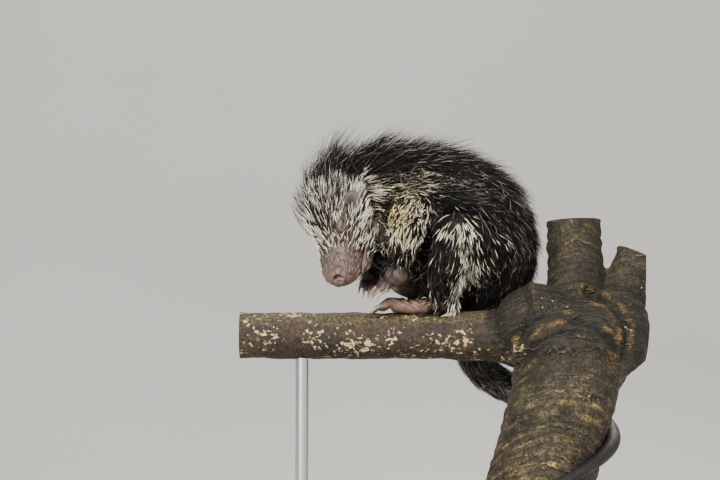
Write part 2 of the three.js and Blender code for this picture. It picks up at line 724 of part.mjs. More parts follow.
// All strands of one growth that find room: each is tried whole and then shorter
function growStrands(form, core, growth, obstacles) {
  const strands = [];
  for (const root of spread(form, core, growth)) {
    const [stretch, lift] = [random(0.85, 1.15), random(0.8, 1.15)];
    const ways = [1, 0.6].map((share) => {
      const length = growth.length * stretch * share;
      return strandWay(form, core, { ...growth, ...root, length, rise: growth.rise * lift * share });
    });
    const free = ways.find((way) => {
      const spots = [form.place(root.t, root.angle, core), way(0.5), way(0.8), way(1)];
      return !obstacles.some((solid) => spots.some((spot) => holds(solid, spot)));
    });
    if (free) strands.push({ way: free, growth });
  }
  return strands;
}

// Coats. Each one gives way to all other bodies and to the coats before it, so the torso comes last.
const nodes = { ...bodies };
const grownCoats = [];
const coated = Object.keys(bodies).filter((name) => name !== 'torso').concat('torso');
for (const name of coated) {
  const formName = name === 'head' ? 'skull' : name;
  const kind = formName.replace(/_(left|right)$/, '');
  const obstacles = Object.entries(grownBodies).filter(([other]) => other !== name)
    .map(([, grown]) => grown).concat(grownCoats);
  if (name === 'head') obstacles.push(eyeKeep(1), eyeKeep(-1));
  const strands = (COATS[kind] ?? []).flatMap((growth) =>
    growStrands(FORMS[formName], CORE[kind], growth, obstacles));
  if (strands.length > 0) {
    const whole = wasm.Manifold.union(strands.map(({ way, growth }) => strand(way, growth, 0)));
    const coat = obstacles.reduce((rest, solid) => rest.subtract(solid), whole);
    nodes[name] = largest(bodies[name].add(coat));
    const grown = strands.map(({ way, growth }) => strand(way, growth, COAT_GAP));
    grownCoats.push(wasm.Manifold.union([whole, ...grown]));
  }
}
sides.forEach((side) => { nodes[`eye_${side}`] = eyeball(sign[side]); });

// Finishes, by the first word of a node's name or by its whole name
const finish = (color, roughness, metalness = 0) =>
  new THREE.MeshStandardMaterial({ color, roughness, metalness });
const PALE_COAT = finish(0x9c9078, 0.7);
const DARK_COAT = finish(0x2e2a26, 0.75);
const BARE_SKIN = finish(0xa8766b, 0.55);
const TAIL_SKIN = finish(0x4a4148, 0.5);
const STEEL = finish(0x8d8f92, 0.35, 1);
const FINISHES = {
  stand_base: finish(0x2a2522, 0.5), stand: STEEL, perch: finish(0x5a3b26, 0.85),
  head: PALE_COAT, neck: PALE_COAT, arm: PALE_COAT, torso: DARK_COAT, thigh: DARK_COAT, shank: PALE_COAT,
  tail_base: DARK_COAT, tail: TAIL_SKIN, hand: BARE_SKIN, foot: BARE_SKIN,
  ear: finish(0x6a4a50, 0.5), eye: finish(0x120c0a, 0.12),
};

// Assembly
const porcupine = new THREE.Group();
const animal = new THREE.Group();
animal.position.set(-BASE.x, -BASE.y, PERCH_HEIGHT);
porcupine.add(animal);
for (const [name, solid] of Object.entries(nodes)) {
  const mesh = new THREE.Mesh(toGeometry(solid), FINISHES[name] ?? FINISHES[name.split('_')[0]]);
  mesh.name = name;
  animal.add(mesh);
}

export default porcupine;
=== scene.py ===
"""Display model of a hairy dwarf porcupine, hunched on a forked limb over its hands.

The animal is laid out in millimetres in a frame of its own: Z = 0 is the top of the branch, Y = 0
the line of the branch, +Y away from the viewer's side, and the animal faces -X.
"""
import math

import bmesh
import bpy
import numpy as np
from mathutils import Matrix, Vector, noise
from mathutils.bvhtree import BVHTree
from mathutils.kdtree import KDTree


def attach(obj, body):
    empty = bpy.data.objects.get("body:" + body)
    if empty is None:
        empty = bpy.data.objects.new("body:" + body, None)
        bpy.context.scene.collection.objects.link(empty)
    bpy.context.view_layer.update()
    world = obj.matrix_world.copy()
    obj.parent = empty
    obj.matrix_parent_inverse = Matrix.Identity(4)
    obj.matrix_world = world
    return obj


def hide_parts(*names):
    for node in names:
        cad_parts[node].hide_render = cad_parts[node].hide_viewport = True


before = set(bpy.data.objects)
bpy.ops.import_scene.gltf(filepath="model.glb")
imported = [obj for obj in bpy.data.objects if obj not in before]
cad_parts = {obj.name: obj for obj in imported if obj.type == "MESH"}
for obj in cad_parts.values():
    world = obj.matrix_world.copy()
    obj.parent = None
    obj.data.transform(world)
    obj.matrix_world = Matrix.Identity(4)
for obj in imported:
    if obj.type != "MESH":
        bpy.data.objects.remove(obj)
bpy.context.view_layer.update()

# From the layout in millimetres to the part in metres
MM = 0.001
LIFT = Vector((-30, 0, 232))
TO_PART = Matrix.Scale(MM, 4) @ Matrix.Translation(LIFT)
RANDOM = np.random.default_rng(20261)

# Head: its centre, its directions towards nose, crown and left cheek, and the places on it
HEAD_AT = np.array((-71.6, -25, 94.9))
HEAD_AXES = np.array(((-0.12, -0.281, -0.952), (-0.934, -0.293, 0.205), (0.337, -0.914, 0.227)))
EYE = {"at": (27, 4, 21.5), "radius": 5.2, "lid": 1.9, "slit": 0.75, "depth": 2.7, "bow": 0.03}
# Rings round the eye: radius, width, depth and how quickly their folds follow each other
EYE_RINGS = ((6.5, 2.0, 0.25, 2.6), (9.0, 1.8, 0.6, 0))
EAR = {"at": (5, 1, 32), "size": (8.4, 6.6, 4.8), "turn": 24, "bed": 6.5, "sunk": 3.4}
NOSTRIL = (73, -3.5, 8)
# Grooves and rims round the nostril: radius, width, depth and the arc that they reach over in degrees
ALL_ROUND = (-999, -998, 998, 999)
NOSTRIL_RINGS = (
    (3.1, 1.15, 3.4, (-75, -45, 110, 140)), (7.8, 1.0, 1.1, (5, 35, 95, 120)),
    (5.4, 1.5, -0.9, ALL_ROUND),
)
NOSE_PAD = {"at": (62, -7, 7.5), "size": (8.5, 9.5, 10.5)}
LIPS = ({"at": (52, -20.2, 0), "size": (13.5, 4.5, 11)}, {"at": (50, -26.7, 0), "size": (11, 4.5, 9.5)})
MOUTH = {"crown": -23.2, "from": 38, "to": 68, "side": 11, "line": 0.8, "depth": 2.0, "lip": 0.9}
NOSE_FROM = 43
# Quills ahead of the eye and ear lie back over them, so their bare places reach further ahead
BARE_AHEAD = 4
# Creases of the left foot's side, in side view: from and to in X and Z
SOLE_CREASES = (((-19, 11), (-6, 0)), ((-6, 12), (8, 1)), ((-13, 12), (-2, 2)))
# Cells that skin and limb are fused with, and the width of the tail's scales
SKIN_VOXEL = 1.3
LIMB_VOXEL = 1.9
SCALE_WIDTH = 2.6

# Perch: a forked limb, its side branch level and its trunk leaning
BRANCH = {"radius": 22, "left": -165, "right": 118, "flare": 9}
TRUNK = {"radius": 48, "top": -6, "bottom": -188, "x": 153, "lean": 0.29, "tip": 0.12}
KNOB = {"at": (143, -4, -24), "size": (72, 54, 40), "end": 206}
LUMPS = ({"at": (106, -16, -10), "size": (40, 32, 34)}, {"at": (178, -26, -14), "size": (30, 24, 34)})
STEMS = (
    {"from": (146, 2, -22), "to": (142, 4, 84), "radius": 25, "foot": 40},
    {"from": (168, 0, -22), "to": (202, 2, 52), "radius": 21, "foot": 30},
)

# Ovals that fill the body: belly, fur at the throat and between belly and feet, and the palm's round pad
BELLY = {"at": (19, 8, 50), "size": (34, 31, 35)}
CHEST = {"at": (-31, 2, 76), "size": (17, 30, 23)}
LAP = {"at": (-3, 8, 26), "size": (25, 19, 13)}
PALM_PAD = {"at": (-22, -49, 30), "size": (10.5, 8, 9.5)}

# Bark. Ring scars of old leaves go round the trunk and are arched upwards at the viewer's side
SCAR = {"spacing": 12.5, "height": 1.6, "width": 0.26, "arch": 0.75}
COLLARS = (-44, -62, 4)
RING_SPACING = 9.5
# Grooves in the swollen fork, in side view: from and to in X and Z
FORK_FOLDS = (
    ((94, 20), (99, 2)), ((99, 2), (92, -30)), ((150, 17), (173, 2)), ((173, 2), (184, -17)),
    ((184, -17), (181, -44)), ((90, -30), (101, -13)), ((101, -13), (124, -6)), ((124, -6), (156, -17)),
    ((156, -17), (176, -38)),
)
# How closely lichen flecks the bark, and where it gathers, in X and Z
LICHEN = 0.77
LICHEN_PATCHES = ((36, -26), (50, -38), (84, -40), (-52, -30), (-96, -24))

# Pale strokes of the coat in side view: from and to in X and Z, their width and how pale they are
STROKES = (
    ((-52, 102), (-4, 117), 18, 1.0), ((-4, 117), (34, 118), 14, 0.9), ((34, 118), (60, 100), 11, 0.5),
    ((60, 100), (80, 66), 12, 0.12), ((-50, 84), (-18, 88), 14, 1.0), ((-26, 94), (0, 86), 15, 0.9),
    ((-26, 76), (-8, 56), 12, 0.9), ((24, 73), (40, 72), 5, 0.8), ((37, 72), (42, 44), 7, 1.0),
    ((42, 44), (36, 0), 9, 1.0),
)
DARK_HOLLOW = {"at": (18, 96), "width": 13}
# Share of pale quills outside the strokes
FEWEST = 0.035
# The fur of each leg falls from its knee, fanning out at both sides
KNEE_FAN = {"x": 33, "width": 66}
# Degrees that hairs stray by where the coat parts, and how deep they are rooted
PARTED = 75
SINK = 0.6
# How far hairs stay off the bark, and the height up to which they may meet it
CLEAR = 0.8
NEAR_BARK = 14
# Size of a hair's patch on the unwrap, and the most triangles in a piece
PATCH = 0.003
PIECE_LIMIT = 190000
SQUARE_CM = 100.0
WARM = "ffe49a"
BLACK = ("060505", "0c0a08", "14110f")

# Kinds of form that a marking or a growth covers
HEAD = ("skull", "jaw")
BODY = ("torso", "neck")
LIMBS = ("thigh", "shank", "arm_upper")

# Camera and floor, in metres
SUBJECT = Vector((-0.085, 0, 0.298))
CAMERA_DISTANCE = 2.2
LOOK_UP = math.radians(5)
FRAME_WIDTH = 0.662
SENSOR = 36
SWEEP = {"side": 6, "near": -4, "far": 3.5, "top": 5, "bend": 1.6}


def head_point(nose, crown, left):
    return HEAD_AT + np.array((nose, crown, left)) @ HEAD_AXES


def paired(part, side):
    """Place of a part of the head at its left side, 1, or its right, -1."""
    nose, crown, left = part["at"]
    return head_point(nose, crown, side * left)


def head_view(points):
    """Points as distances towards nose, crown and left cheek from the centre of the head."""
    return (points - HEAD_AT) @ np.linalg.inv(HEAD_AXES)


def on_face(points, margin=0):
    """True on the front of the head, from the ears to the nose."""
    nose, crown, left = head_view(points).T
    ahead = (nose > 14 - margin) & (nose < 80 + margin)
    return ahead & (crown > -34) & (abs(left) < 34 + margin)


def unit(vectors):
    return vectors / np.maximum(np.linalg.norm(vectors, axis=-1, keepdims=True), 1e-9)


def dot(a, b):
    return (a * b).sum(axis=-1, keepdims=True)


def bump(distance, width):
    """1 at no distance, falling smoothly to 0 a few widths away."""
    return np.exp(-(distance / width) ** 2)


def step(value, low, high):
    """0 below low, 1 above high and smooth between them."""
    share = np.clip((value - low) / (high - low), 0, 1)
    return share * share * (3 - 2 * share)


def window(value, none, full, fade, gone):
    """0 below none and above gone, 1 from full to fade and smooth between them."""
    return step(value, none, full) * (1 - step(value, fade, gone))


def smooth_line(points, count):
    """A smooth line through the points, evenly cut from each one to the next."""
    points = np.asarray(points, float)
    ends = np.vstack((2 * points[0] - points[1], points, 2 * points[-1] - points[-2]))
    way = np.linspace(0, len(points) - 1, count)
    part = np.minimum(way.astype(int), len(points) - 2)
    share = (way - part)[:, None]
    a, b, c, d = (ends[part + k] for k in range(4))
    before, here, after = (
        np.maximum(np.linalg.norm(q - p, axis=1, keepdims=True), 1e-4) ** 0.5
        for p, q in ((a, b), (b, c), (c, d))
    )
    leave = ((b - a) / before - (c - a) / (before + here) + (c - b) / here) * here
    reach = ((c - b) / here - (d - b) / (here + after) + (d - c) / after) * here
    cubic = 2 * b - 2 * c + leave + reach
    square = -3 * b + 3 * c - 2 * leave - reach
    return ((cubic * share + square) * share + leave) * share + b


class Form:
    """A soft form: oval rings set on a smooth line through its stations, with a round cap at each end.

    A station is its place and the radius towards the back, the belly and the sides. The back points
    along up, or away from the point focus. The fur's lie is an angle to the form's own direction.
    """

    def __init__(self, stations, caps, up=None, focus=None, around=24, rows=24, cap_share=1 / 6, lie=0):
        places = smooth_line([station[0] for station in stations], 20 * len(stations))
        radii = [(s[1], s[2] if len(s) > 2 else s[1], s[3] if len(s) > 3 else s[1]) for s in stations]
        along = unit(np.gradient(places, axis=0))
        back = places - np.array(focus, float) if focus is not None else np.tile(up, (len(places), 1))
        back = unit(back - dot(back, along) * along)
        side = np.cross(along, back)
        self.table = np.hstack((places, along, back, side, smooth_line(radii, len(places))))
        self.caps = caps
        self.around = around
        self.rows = rows
        self.cap_share = cap_share
        self.lie = lie

    def place(self, t, angle, grow=0.0):
        from_start = np.minimum(t / self.cap_share, 1)
        from_end = np.minimum((1 - t) / self.cap_share, 1)
        way = np.clip((t - self.cap_share) / (1 - 2 * self.cap_share), 0, 1) * (len(self.table) - 1)
        low = np.minimum(way.astype(int), len(self.table) - 2)
        share = (way - low)[..., None]
        ring = self.table[low] * (1 - share) + self.table[low + 1] * share
        centre, along, back, side = (ring[..., k:k + 3] for k in (0, 3, 6, 9))
        high, deep, wide = (ring[..., k] for k in (12, 13, 14))
        scale = np.sin(np.minimum(from_start, from_end) * math.pi / 2)
        ahead = np.cos(from_end * math.pi / 2) * (self.caps[1] + grow)
        behind = np.cos(from_start * math.pi / 2) * (self.caps[0] + grow)
        height = np.cos(angle) * (np.where(np.cos(angle) > 0, high, deep) + grow)
        width = np.sin(angle) * (wide + grow)
        return (centre + along * (ahead - behind)[..., None] + back * (scale * height)[..., None]
                + side * (scale * width)[..., None])

    def add_to(self, bm):
        """Adds the form to a bmesh as a closed ball that is drawn out to its shape."""
        made = bmesh.ops.create_uvsphere(bm, u_segments=self.around, v_segments=self.rows, radius=1)
        ball = np.array([vert.co for vert in made["verts"]])
        t = np.arccos(np.clip(ball[:, 2], -1, 1)) / math.pi
        places = self.place(t, np.arctan2(ball[:, 1], ball[:, 0]))
        for vert, place in zip(made["verts"], places):
            vert.co = place


def add_oval(bm, centre, size, axes=np.eye(3)):
    made = bmesh.ops.create_uvsphere(bm, u_segments=24, v_segments=16, radius=1)
    turn = np.array(axes) * np.array(size)[:, None]
    for vert in made["verts"]:
        vert.co = np.asarray(centre) + np.array(vert.co) @ turn


# Flesh of each part. Fur on the head and neck lies towards the back, against the run of their forms.
BACKWARD = math.pi
UP = (0, 0, 1)
DOWN_BRANCH = (-1, 0, 0)


def head_station(nose, crown, high, low, wide):
    return (head_point(nose, crown, 0), high, low, wide)


FORMS = {
    "torso": Form(
        [((-30, -5, 108), 34, 30, 33), ((-10, 1, 101), 43, 38, 42), ((18, 9, 91), 49, 40, 49),
         ((43, 17, 77), 50, 34, 51), ((58, 25, 52), 45, 30, 48), ((62, 31, 26), 32, 24, 38)],
        caps=(8, 16), focus=(8, 12, 30), around=48, rows=36),
    "neck": Form(
        [((-10, 0, 103), 39, 31, 38), ((-36, -8, 108), 34, 27, 33), ((-60, -18, 107), 28, 24, 28)],
        caps=(6, 8), focus=(-30, -5, -40), around=40, cap_share=2 / 9, lie=BACKWARD),
    "skull": Form(
        [head_station(-22, 0, 21, 20, 22), head_station(-8, 0, 28, 26, 30), head_station(8, 0, 29, 27, 31),
         head_station(22, -1, 26, 25, 27), head_station(34, -3, 21, 22, 22.5),
         head_station(46, -5, 18.5, 19, 19.5), head_station(60, -7, 17.5, 17.5, 18.5)],
        caps=(9, 16), up=HEAD_AXES[1], around=48, rows=40, cap_share=3 / 13, lie=BACKWARD),
    "jaw": Form(
        [head_station(6, -15, 12, 13, 17), head_station(24, -21, 10, 11, 13.5),
         head_station(40, -25, 8, 9, 10.5), head_station(53, -28, 6, 6.5, 8)],
        caps=(5, 5), up=HEAD_AXES[1], cap_share=1 / 4, lie=BACKWARD),
}

ARMS = {
    "left": {
        "shoulder": (-8, -32, 90), "elbow": (-14, -61, 64), "wrist": (-19, -46, 37), "palm": (-25, -43, 27),
        "fingers": ((-39, -42, 18), (-39, -38, 20), (-36, -46, 17), (-31, -49, 16)), "reach": (-7, 2, -5)},
    "right": {
        "shoulder": (-8, 34, 88), "elbow": (-22, 50, 58), "wrist": (-43, 12, 34), "palm": (-47, 0, 27),
        "fingers": ((-54, -14, 23), (-50, -14, 20), (-46, -13, 19), (-42, -11, 18)), "reach": (-2, -8, -5)},
}
LEGS = {
    "left": {
        "hip": (60, -12, 54), "knee": (32, -46, 72), "shin": (26, -38, 42), "ankle": (21, -17, 15),
        "foot_y": -13},
    "right": {
        "hip": (62, 54, 54), "knee": (33, 84, 72), "shin": (28, 62, 43), "ankle": (22, 19, 15),
        "foot_y": 13},
}
FOOT = {"heel": 27, "toe": -22}
TOE = {"spread": 5.8, "length": 10, "thick": 4.9, "curl": 0.2, "slim": 0.62}
FINGER_THICK = 3.1
# How much thinner each digit is than the one before it
THINNER = 0.15
CLAW_LENGTH = 12
# Hook of a claw: how far along it, how high, and its share of the digit's thickness
HOOK = ((-0.12, 0, 0.62), (0.2, 0.9, 0.5), (0.5, 0.7, 0.38), (0.8, -0.6, 0.24), (1, -2.6, 0))


def between(a, b, share):
    return np.array(a) * (1 - share) + np.array(b) * share


def digit(root, tip, thick, curl=0.22, slim=1.0):
    """A finger or toe, arched from its root to its tip, and thinner from side to side if slim."""
    arch = np.array((0, 0, np.linalg.norm(tip - root) * curl))
    knuckle = between(root, tip, 0.55) + arch
    stations = [(place, thick * share * slim, thick * share * slim, thick * share)
                for place, share in ((root, 1), (knuckle, 0.95), (tip, 0.8))]
    return Form(stations, caps=(thick, thick * 0.8), up=(0.1, 1, 0.3), around=14, rows=14)


def claw(tip, reach, length, thick):
    """A hooked claw that leaves the tip of its digit along reach."""
    ahead = unit(np.asarray(reach, float)) * length
    lift = np.array(UP, float)
    stations = [(tip + ahead * on + lift * up, max(thick * share, 0.25)) for on, up, share in HOOK]
    return Form(stations, caps=(0.5, 0.3), up=(0.1, 1, 0.3), around=10, rows=20, cap_share=0.06)


CLAWS = []
for side, arm in ARMS.items():
    shoulder, elbow, wrist, palm = (arm[key] for key in ("shoulder", "elbow", "wrist", "palm"))
    FORMS[f"arm_upper_{side}"] = Form(
        [(shoulder, 19, 19, 17), (between(shoulder, elbow, 0.55), 15, 15, 14), (elbow, 11.5)],
        caps=(12, 11), up=DOWN_BRANCH, cap_share=1 / 4)
    FORMS[f"arm_fore_{side}"] = Form(
        [(between(elbow, wrist, 0.12), 11, 11, 10.5), (between(elbow, wrist, 0.55), 9, 9, 8.5),
         (wrist, 6.5, 6.5, 7)],
        caps=(8, 5), up=DOWN_BRANCH, cap_share=1 / 4)
    FORMS[f"hand_{side}"] = Form(
        [(between(wrist, palm, 0.25), 7, 7, 8), (palm, 6.5, 6.5, 9)], caps=(4, 5), up=UP, cap_share=2 / 7)
    for number, finger in enumerate(np.array(arm["fingers"], float)):
        thick = FINGER_THICK - THINNER * number
        FORMS[f"finger_{side}_{number}"] = digit(between(palm, finger, 0.25), finger, thick)
        CLAWS.append(claw(finger, arm["reach"], CLAW_LENGTH - 1, thick))

for side, leg in LEGS.items():
    hip, knee, shin, ankle = (leg[key] for key in ("hip", "knee", "shin", "ankle"))
    foot_y = leg["foot_y"]
    outer = math.copysign(1, foot_y)
    FORMS[f"thigh_{side}"] = Form(
        [(hip, 29, 29, 24), (between(hip, knee, 0.5), 25, 25, 20), (knee, 16, 16, 15)],
        caps=(14, 14), up=UP, cap_share=2 / 9, around=32, lie=math.radians(165))
    FORMS[f"shank_{side}"] = Form(
        [(between(knee, shin, 0.15), 16, 16, 15), (shin, 17, 15, 13), (ankle, 11, 11, 9)],
        caps=(9, 7), up=DOWN_BRANCH, cap_share=1 / 4)
    FORMS[f"foot_{side}"] = Form(
        [((FOOT["heel"], foot_y, 5), 7, 6, 8), ((14, foot_y, 5), 7, 7, 9.5),
         ((-4, foot_y, 5), 6.5, 7.5, 10.5), ((FOOT["toe"], foot_y, 6), 6.5, 7, 10)],
        caps=(6, 5), up=UP, cap_share=1 / 4)
    for number in range(4):
        across = outer * (number - 1.5) * TOE["spread"]
        bow = 4 - abs(number - 1.4) * 1.6
        root = np.array((FOOT["toe"] + 2, foot_y + across * 0.8, 7))
        tip = np.array((FOOT["toe"] - TOE["length"] - bow, foot_y + across, 4))
        thick = TOE["thick"] - THINNER * number
        FORMS[f"toe_{side}_{number}"] = digit(root, tip, thick, TOE["curl"], TOE["slim"])
        CLAWS.append(claw(tip, (-1, outer * (number - 1.2) * 0.1, -0.35), CLAW_LENGTH, thick * 0.75))

# Tail: down behind the branch, along behind the trunk, then round its right side to the front
TAIL_HANG = ((57, 30, 12), (52, 41, -8), (49, 45, -28), (60, 48, -52), (88, 51, -70))
COIL = {"from": 96, "to": -84, "top": -78, "drop": 82, "steps": 9, "gap": 0.3}
TAIL_THICK = {"base": 17, "tip": 4.2, "taper": 0.72}
# Where along the tail it turns bare, and the mean radius of the scaly part
TAIL_BARE = 0.36
TAIL_RADIUS = 9


def trunk_axis(z):
    return np.array((TRUNK["x"] + TRUNK["lean"] * z, TRUNK["tip"] * z, z))


def tail_stations():
    total = len(TAIL_HANG) + COIL["steps"]
    base, tip, taper = TAIL_THICK.values()
    stations = []
    for i in range(total):
        radius = base + (tip - base) * ((i + (i >= len(TAIL_HANG))) / total) ** taper
        if i < len(TAIL_HANG):
            stations.append((TAIL_HANG[i], radius))
            continue
        turn = (i + 1 - len(TAIL_HANG)) / COIL["steps"]
        angle = math.radians(COIL["from"] + (COIL["to"] - COIL["from"]) * turn)
        out = np.array((math.cos(angle), math.sin(angle), 0)) * (TRUNK["radius"] + radius + COIL["gap"])
        stations.append((trunk_axis(COIL["top"] - COIL["drop"] * turn ** 1.15) + out, radius))
    return stations


FORMS["tail"] = Form(
    tail_stations(), caps=(8, 4), focus=(60, -400, -20), around=28, rows=110, cap_share=0.02)


def to_mesh(name, bm):
    mesh = bpy.data.meshes.new(name)
    bm.to_mesh(mesh)
    bm.free()
    return mesh


def corners(mesh):
    places = np.empty(len(mesh.vertices) * 3)
    mesh.vertices.foreach_get("co", places)
    return places.reshape(-1, 3)


def normals(mesh):
    facing = np.empty(len(mesh.vertices) * 3)
    mesh.vertex_normals.foreach_get("vector", facing)
    return facing.reshape(-1, 3)


def move(mesh, places):
    mesh.vertices.foreach_set("co", np.asarray(places, float).ravel())
    mesh.update()


def put(name, data):
    """Sets a new object of that mesh, lamp or camera in the scene."""
    piece = bpy.data.objects.new(name, data)
    bpy.context.collection.objects.link(piece)
    return piece


def fused(mesh, voxel, rounds):
    """The mesh as one closed surface, its creases softened."""
    piece = put("fusing", mesh)
    remesh = piece.modifiers.new("Fuse", "REMESH")
    remesh.mode = "VOXEL"
    remesh.voxel_size = voxel
    soften = piece.modifiers.new("Soften", "SMOOTH")
    soften.factor = 0.5
    soften.iterations = rounds
    depsgraph = bpy.context.evaluated_depsgraph_get()
    whole = bpy.data.meshes.new_from_object(piece.evaluated_get(depsgraph))
    bpy.data.objects.remove(piece)
    return whole


def paint(mesh, name, colours):
    layer = mesh.color_attributes.new(name=name, type="FLOAT_COLOR", domain="POINT")
    layer.data.foreach_set("color", np.hstack((colours, np.ones((len(colours), 1)))).ravel())


def measure(mesh, name, values):
    layer = mesh.attributes.new(name=name, type="FLOAT", domain="POINT")
    layer.data.foreach_set("value", np.asarray(values, float))


def finish_piece(name, mesh, materials, nodes=()):
    """Sets a finished mesh in its place in the part, riding on the part's one body."""
    mesh.name = name
    mesh.transform(TO_PART)
    for material in materials:
        mesh.materials.append(material)
    mesh.polygons.foreach_set("use_smooth", [True] * len(mesh.polygons))
    piece = put(name, mesh)
    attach(piece, "root")
    if nodes:
        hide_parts(*nodes)


def colour(code):
    """Linear colour of an sRGB hex value."""
    parts = np.array([int(code[k:k + 2], 16) for k in (0, 2, 4)]) / 255
    return np.where(parts <= 0.04045, parts / 12.92, ((parts + 0.055) / 1.055) ** 2.4)


def blend(first, second, share):
    """Between two colours, which may be hex values, or two sets of vectors."""
    first, second = (colour(ends) if isinstance(ends, str) else ends for ends in (first, second))
    share = np.asarray(share)[..., None]
    return first * (1 - share) + second * share


# Skin

def skin_mesh():
    """All flesh as one closed surface, with finer faces on the front of the head."""
    bm = bmesh.new()
    for form in FORMS.values():
        form.add_to(bm)
    for part in (BELLY, CHEST, LAP, PALM_PAD):
        add_oval(bm, part["at"], part["size"])
    lid = EYE["radius"] + EYE["lid"]
    for side in (1, -1):
        add_oval(bm, paired(EYE, side), (lid * 1.25, lid, lid * 0.82), HEAD_AXES)
        add_oval(bm, paired(NOSE_PAD, side), NOSE_PAD["size"], HEAD_AXES)
    for lip in LIPS:
        add_oval(bm, head_point(*lip["at"]), lip["size"], HEAD_AXES)
    mesh = fused(to_mesh("flesh", bm), SKIN_VOXEL, 5)
    bm = bmesh.new()
    bm.from_mesh(mesh)
    face = on_face(np.array([vert.co for vert in bm.verts]))
    edges = [edge for edge in bm.edges if all(face[vert.index] for vert in edge.verts)]
    bmesh.ops.subdivide_edges(bm, edges=edges, cuts=1, use_grid_fill=True)
    bmesh.ops.triangulate(bm, faces=bm.faces[:])
    return to_mesh("skin", bm)


def stroke_reach(x, z, start, end):
    """Distance of each place, in side view, from a stroke between two points."""
    start, run = np.array(start, float), np.subtract(end, start).astype(float)
    from_start = np.column_stack((x, z)) - start
    share = np.clip(from_start @ run / (run @ run), 0, 1)
    return np.linalg.norm(from_start - share[:, None] * run, axis=1)


def crumple(points, size, seed):
    """A soft random height between -1 and 1 at each point, with waves of about that size."""
    return np.array([noise.noise(Vector(point) / size + Vector((seed, 0, 0))) for point in points])


def face_depth(places):
    """How far each place of the head is pushed in: nostrils, mouth, lids and folds."""
    nose, crown, left = head_view(places).T
    here = on_face(places, 2)
    depth = np.zeros(len(places))
    on_nose = here * step(nose, 50, 60)
    for out in (left, -left):
        over, beside = crown - NOSTRIL[1], out - NOSTRIL[2]
        reach = np.hypot(over, beside)
        turn = np.degrees(np.arctan2(beside, over))
        for radius, width, deep, arc in NOSTRIL_RINGS:
            depth += on_nose * deep * window(turn, *arc) * bump(reach - radius, width)
        near_eye = here * step(out, 8, 12)
        along, over = nose - EYE["at"][0], crown - EYE["at"][1]
        slit = bump(over - EYE["bow"] * along ** 2, EYE["slit"]) * (1 - step(abs(along), 3.6, 5.4))
        depth += near_eye * EYE["depth"] * slit
        reach = np.hypot(along * 0.85, over)
        for radius, width, deep, folds in EYE_RINGS:
            depth += near_eye * deep * np.cos(reach * folds) * bump(reach - radius, width)
        from_ear = np.hypot(nose - EAR["at"][0], crown - EAR["at"][1])
        depth += EAR["sunk"] * step(out, 12, 20) * bump(from_ear, EAR["bed"])
    within = window(nose, MOUTH["from"] - 3, MOUTH["from"] + 3, MOUTH["to"] - 2, MOUTH["to"] + 2)
    within *= here * (1 - step(abs(left), MOUTH["side"], MOUTH["side"] + 3))
    from_line = crown - MOUTH["crown"]
    depth += within * MOUTH["depth"] * bump(from_line, MOUTH["line"])
    depth -= within * MOUTH["lip"] * bump(abs(from_line) - 2.3, 1.2)
    depth += on_nose * 0.9 * window(crown, -22, -18, -12, -8) * bump(left, 0.9)
    return depth


def skin_depth(places):
    """How far each place of the skin is pushed in: the face, its wrinkles, and creased hands and feet."""
    depth = face_depth(places)
    wrinkled = on_face(places, 2) & (head_view(places)[:, 0] > NOSE_FROM - 4)
    depth[wrinkled] += 0.25 * crumple(places[wrinkled], 2.4, 3) + 0.3 * crumple(places[wrinkled], 6, 8)
    furrow = np.abs(crumple(places[wrinkled] * (1, 1, 0.5), 5, 77))
    depth[wrinkled] += 0.9 * (0.16 - furrow).clip(0, 1) / 0.16
    x, _, z = places.T
    low_down = (z < 40) & (x < 12) & (z > -5)
    fold = np.abs(crumple(places * (1, 0.6, 0.35), 3.2, 51))
    depth[low_down] += 1.2 * (0.3 - fold[low_down]).clip(0, 1)
    for start, end in SOLE_CREASES:
        depth += 1.7 * bump(stroke_reach(x, z, start, end), 1.1) * low_down * (z < 14)
    return depth


skin = skin_mesh()
move(skin, corners(skin) - normals(skin) * skin_depth(corners(skin))[:, None])


# Lie of the coat: each place of the skin takes it from the nearest form, and it is then evened out

def nearest_form(points):
    """The number of the nearest form to each point, where on it that is, and how its fur lies there."""
    rows = []
    little = 0.01
    for index, form in enumerate(FORMS.values()):
        count = 150 if form.rows > 100 else 36
        t, angle = np.meshgrid(np.linspace(0.03, 0.97, count), np.linspace(-math.pi, math.pi, 41)[:-1])
        t, angle = t.ravel(), angle.ravel()
        run = unit(form.place(t + little, angle) - form.place(t - little, angle))
        turn = unit(form.place(t, angle + little) - form.place(t, angle - little))
        lie = math.cos(form.lie) * run + math.sin(form.lie) * turn
        rows.append(np.column_stack((form.place(t, angle), lie, np.full(len(t), index), t, angle)))
    rows = np.vstack(rows)
    tree = KDTree(len(rows))
    for index, row in enumerate(rows):
        tree.insert(row[:3], index)
    tree.balance()
    found = rows[[tree.find(point)[1] for point in points]]
    return found[:, 6].astype(int), found[:, 7], found[:, 8], found[:, 3:6]


def evened(mesh, vectors, rounds):
    """Vectors at the mesh's corners, each moved towards the mean of its neighbours'."""
    edges = np.empty(len(mesh.edges) * 2, int)
    mesh.edges.foreach_get("vertices", edges)
    a, b = edges.reshape(-1, 2).T
    count = np.bincount(a, minlength=len(vectors)) + np.bincount(b, minlength=len(vectors))
    for _ in range(rounds):
        total = np.column_stack([
            np.bincount(a, vectors[b, k], len(vectors)) + np.bincount(b, vectors[a, k], len(vectors))
            for k in range(vectors.shape[1])
        ])
        vectors = 0.5 * vectors + 0.5 * total / count[:, None]
    return vectors


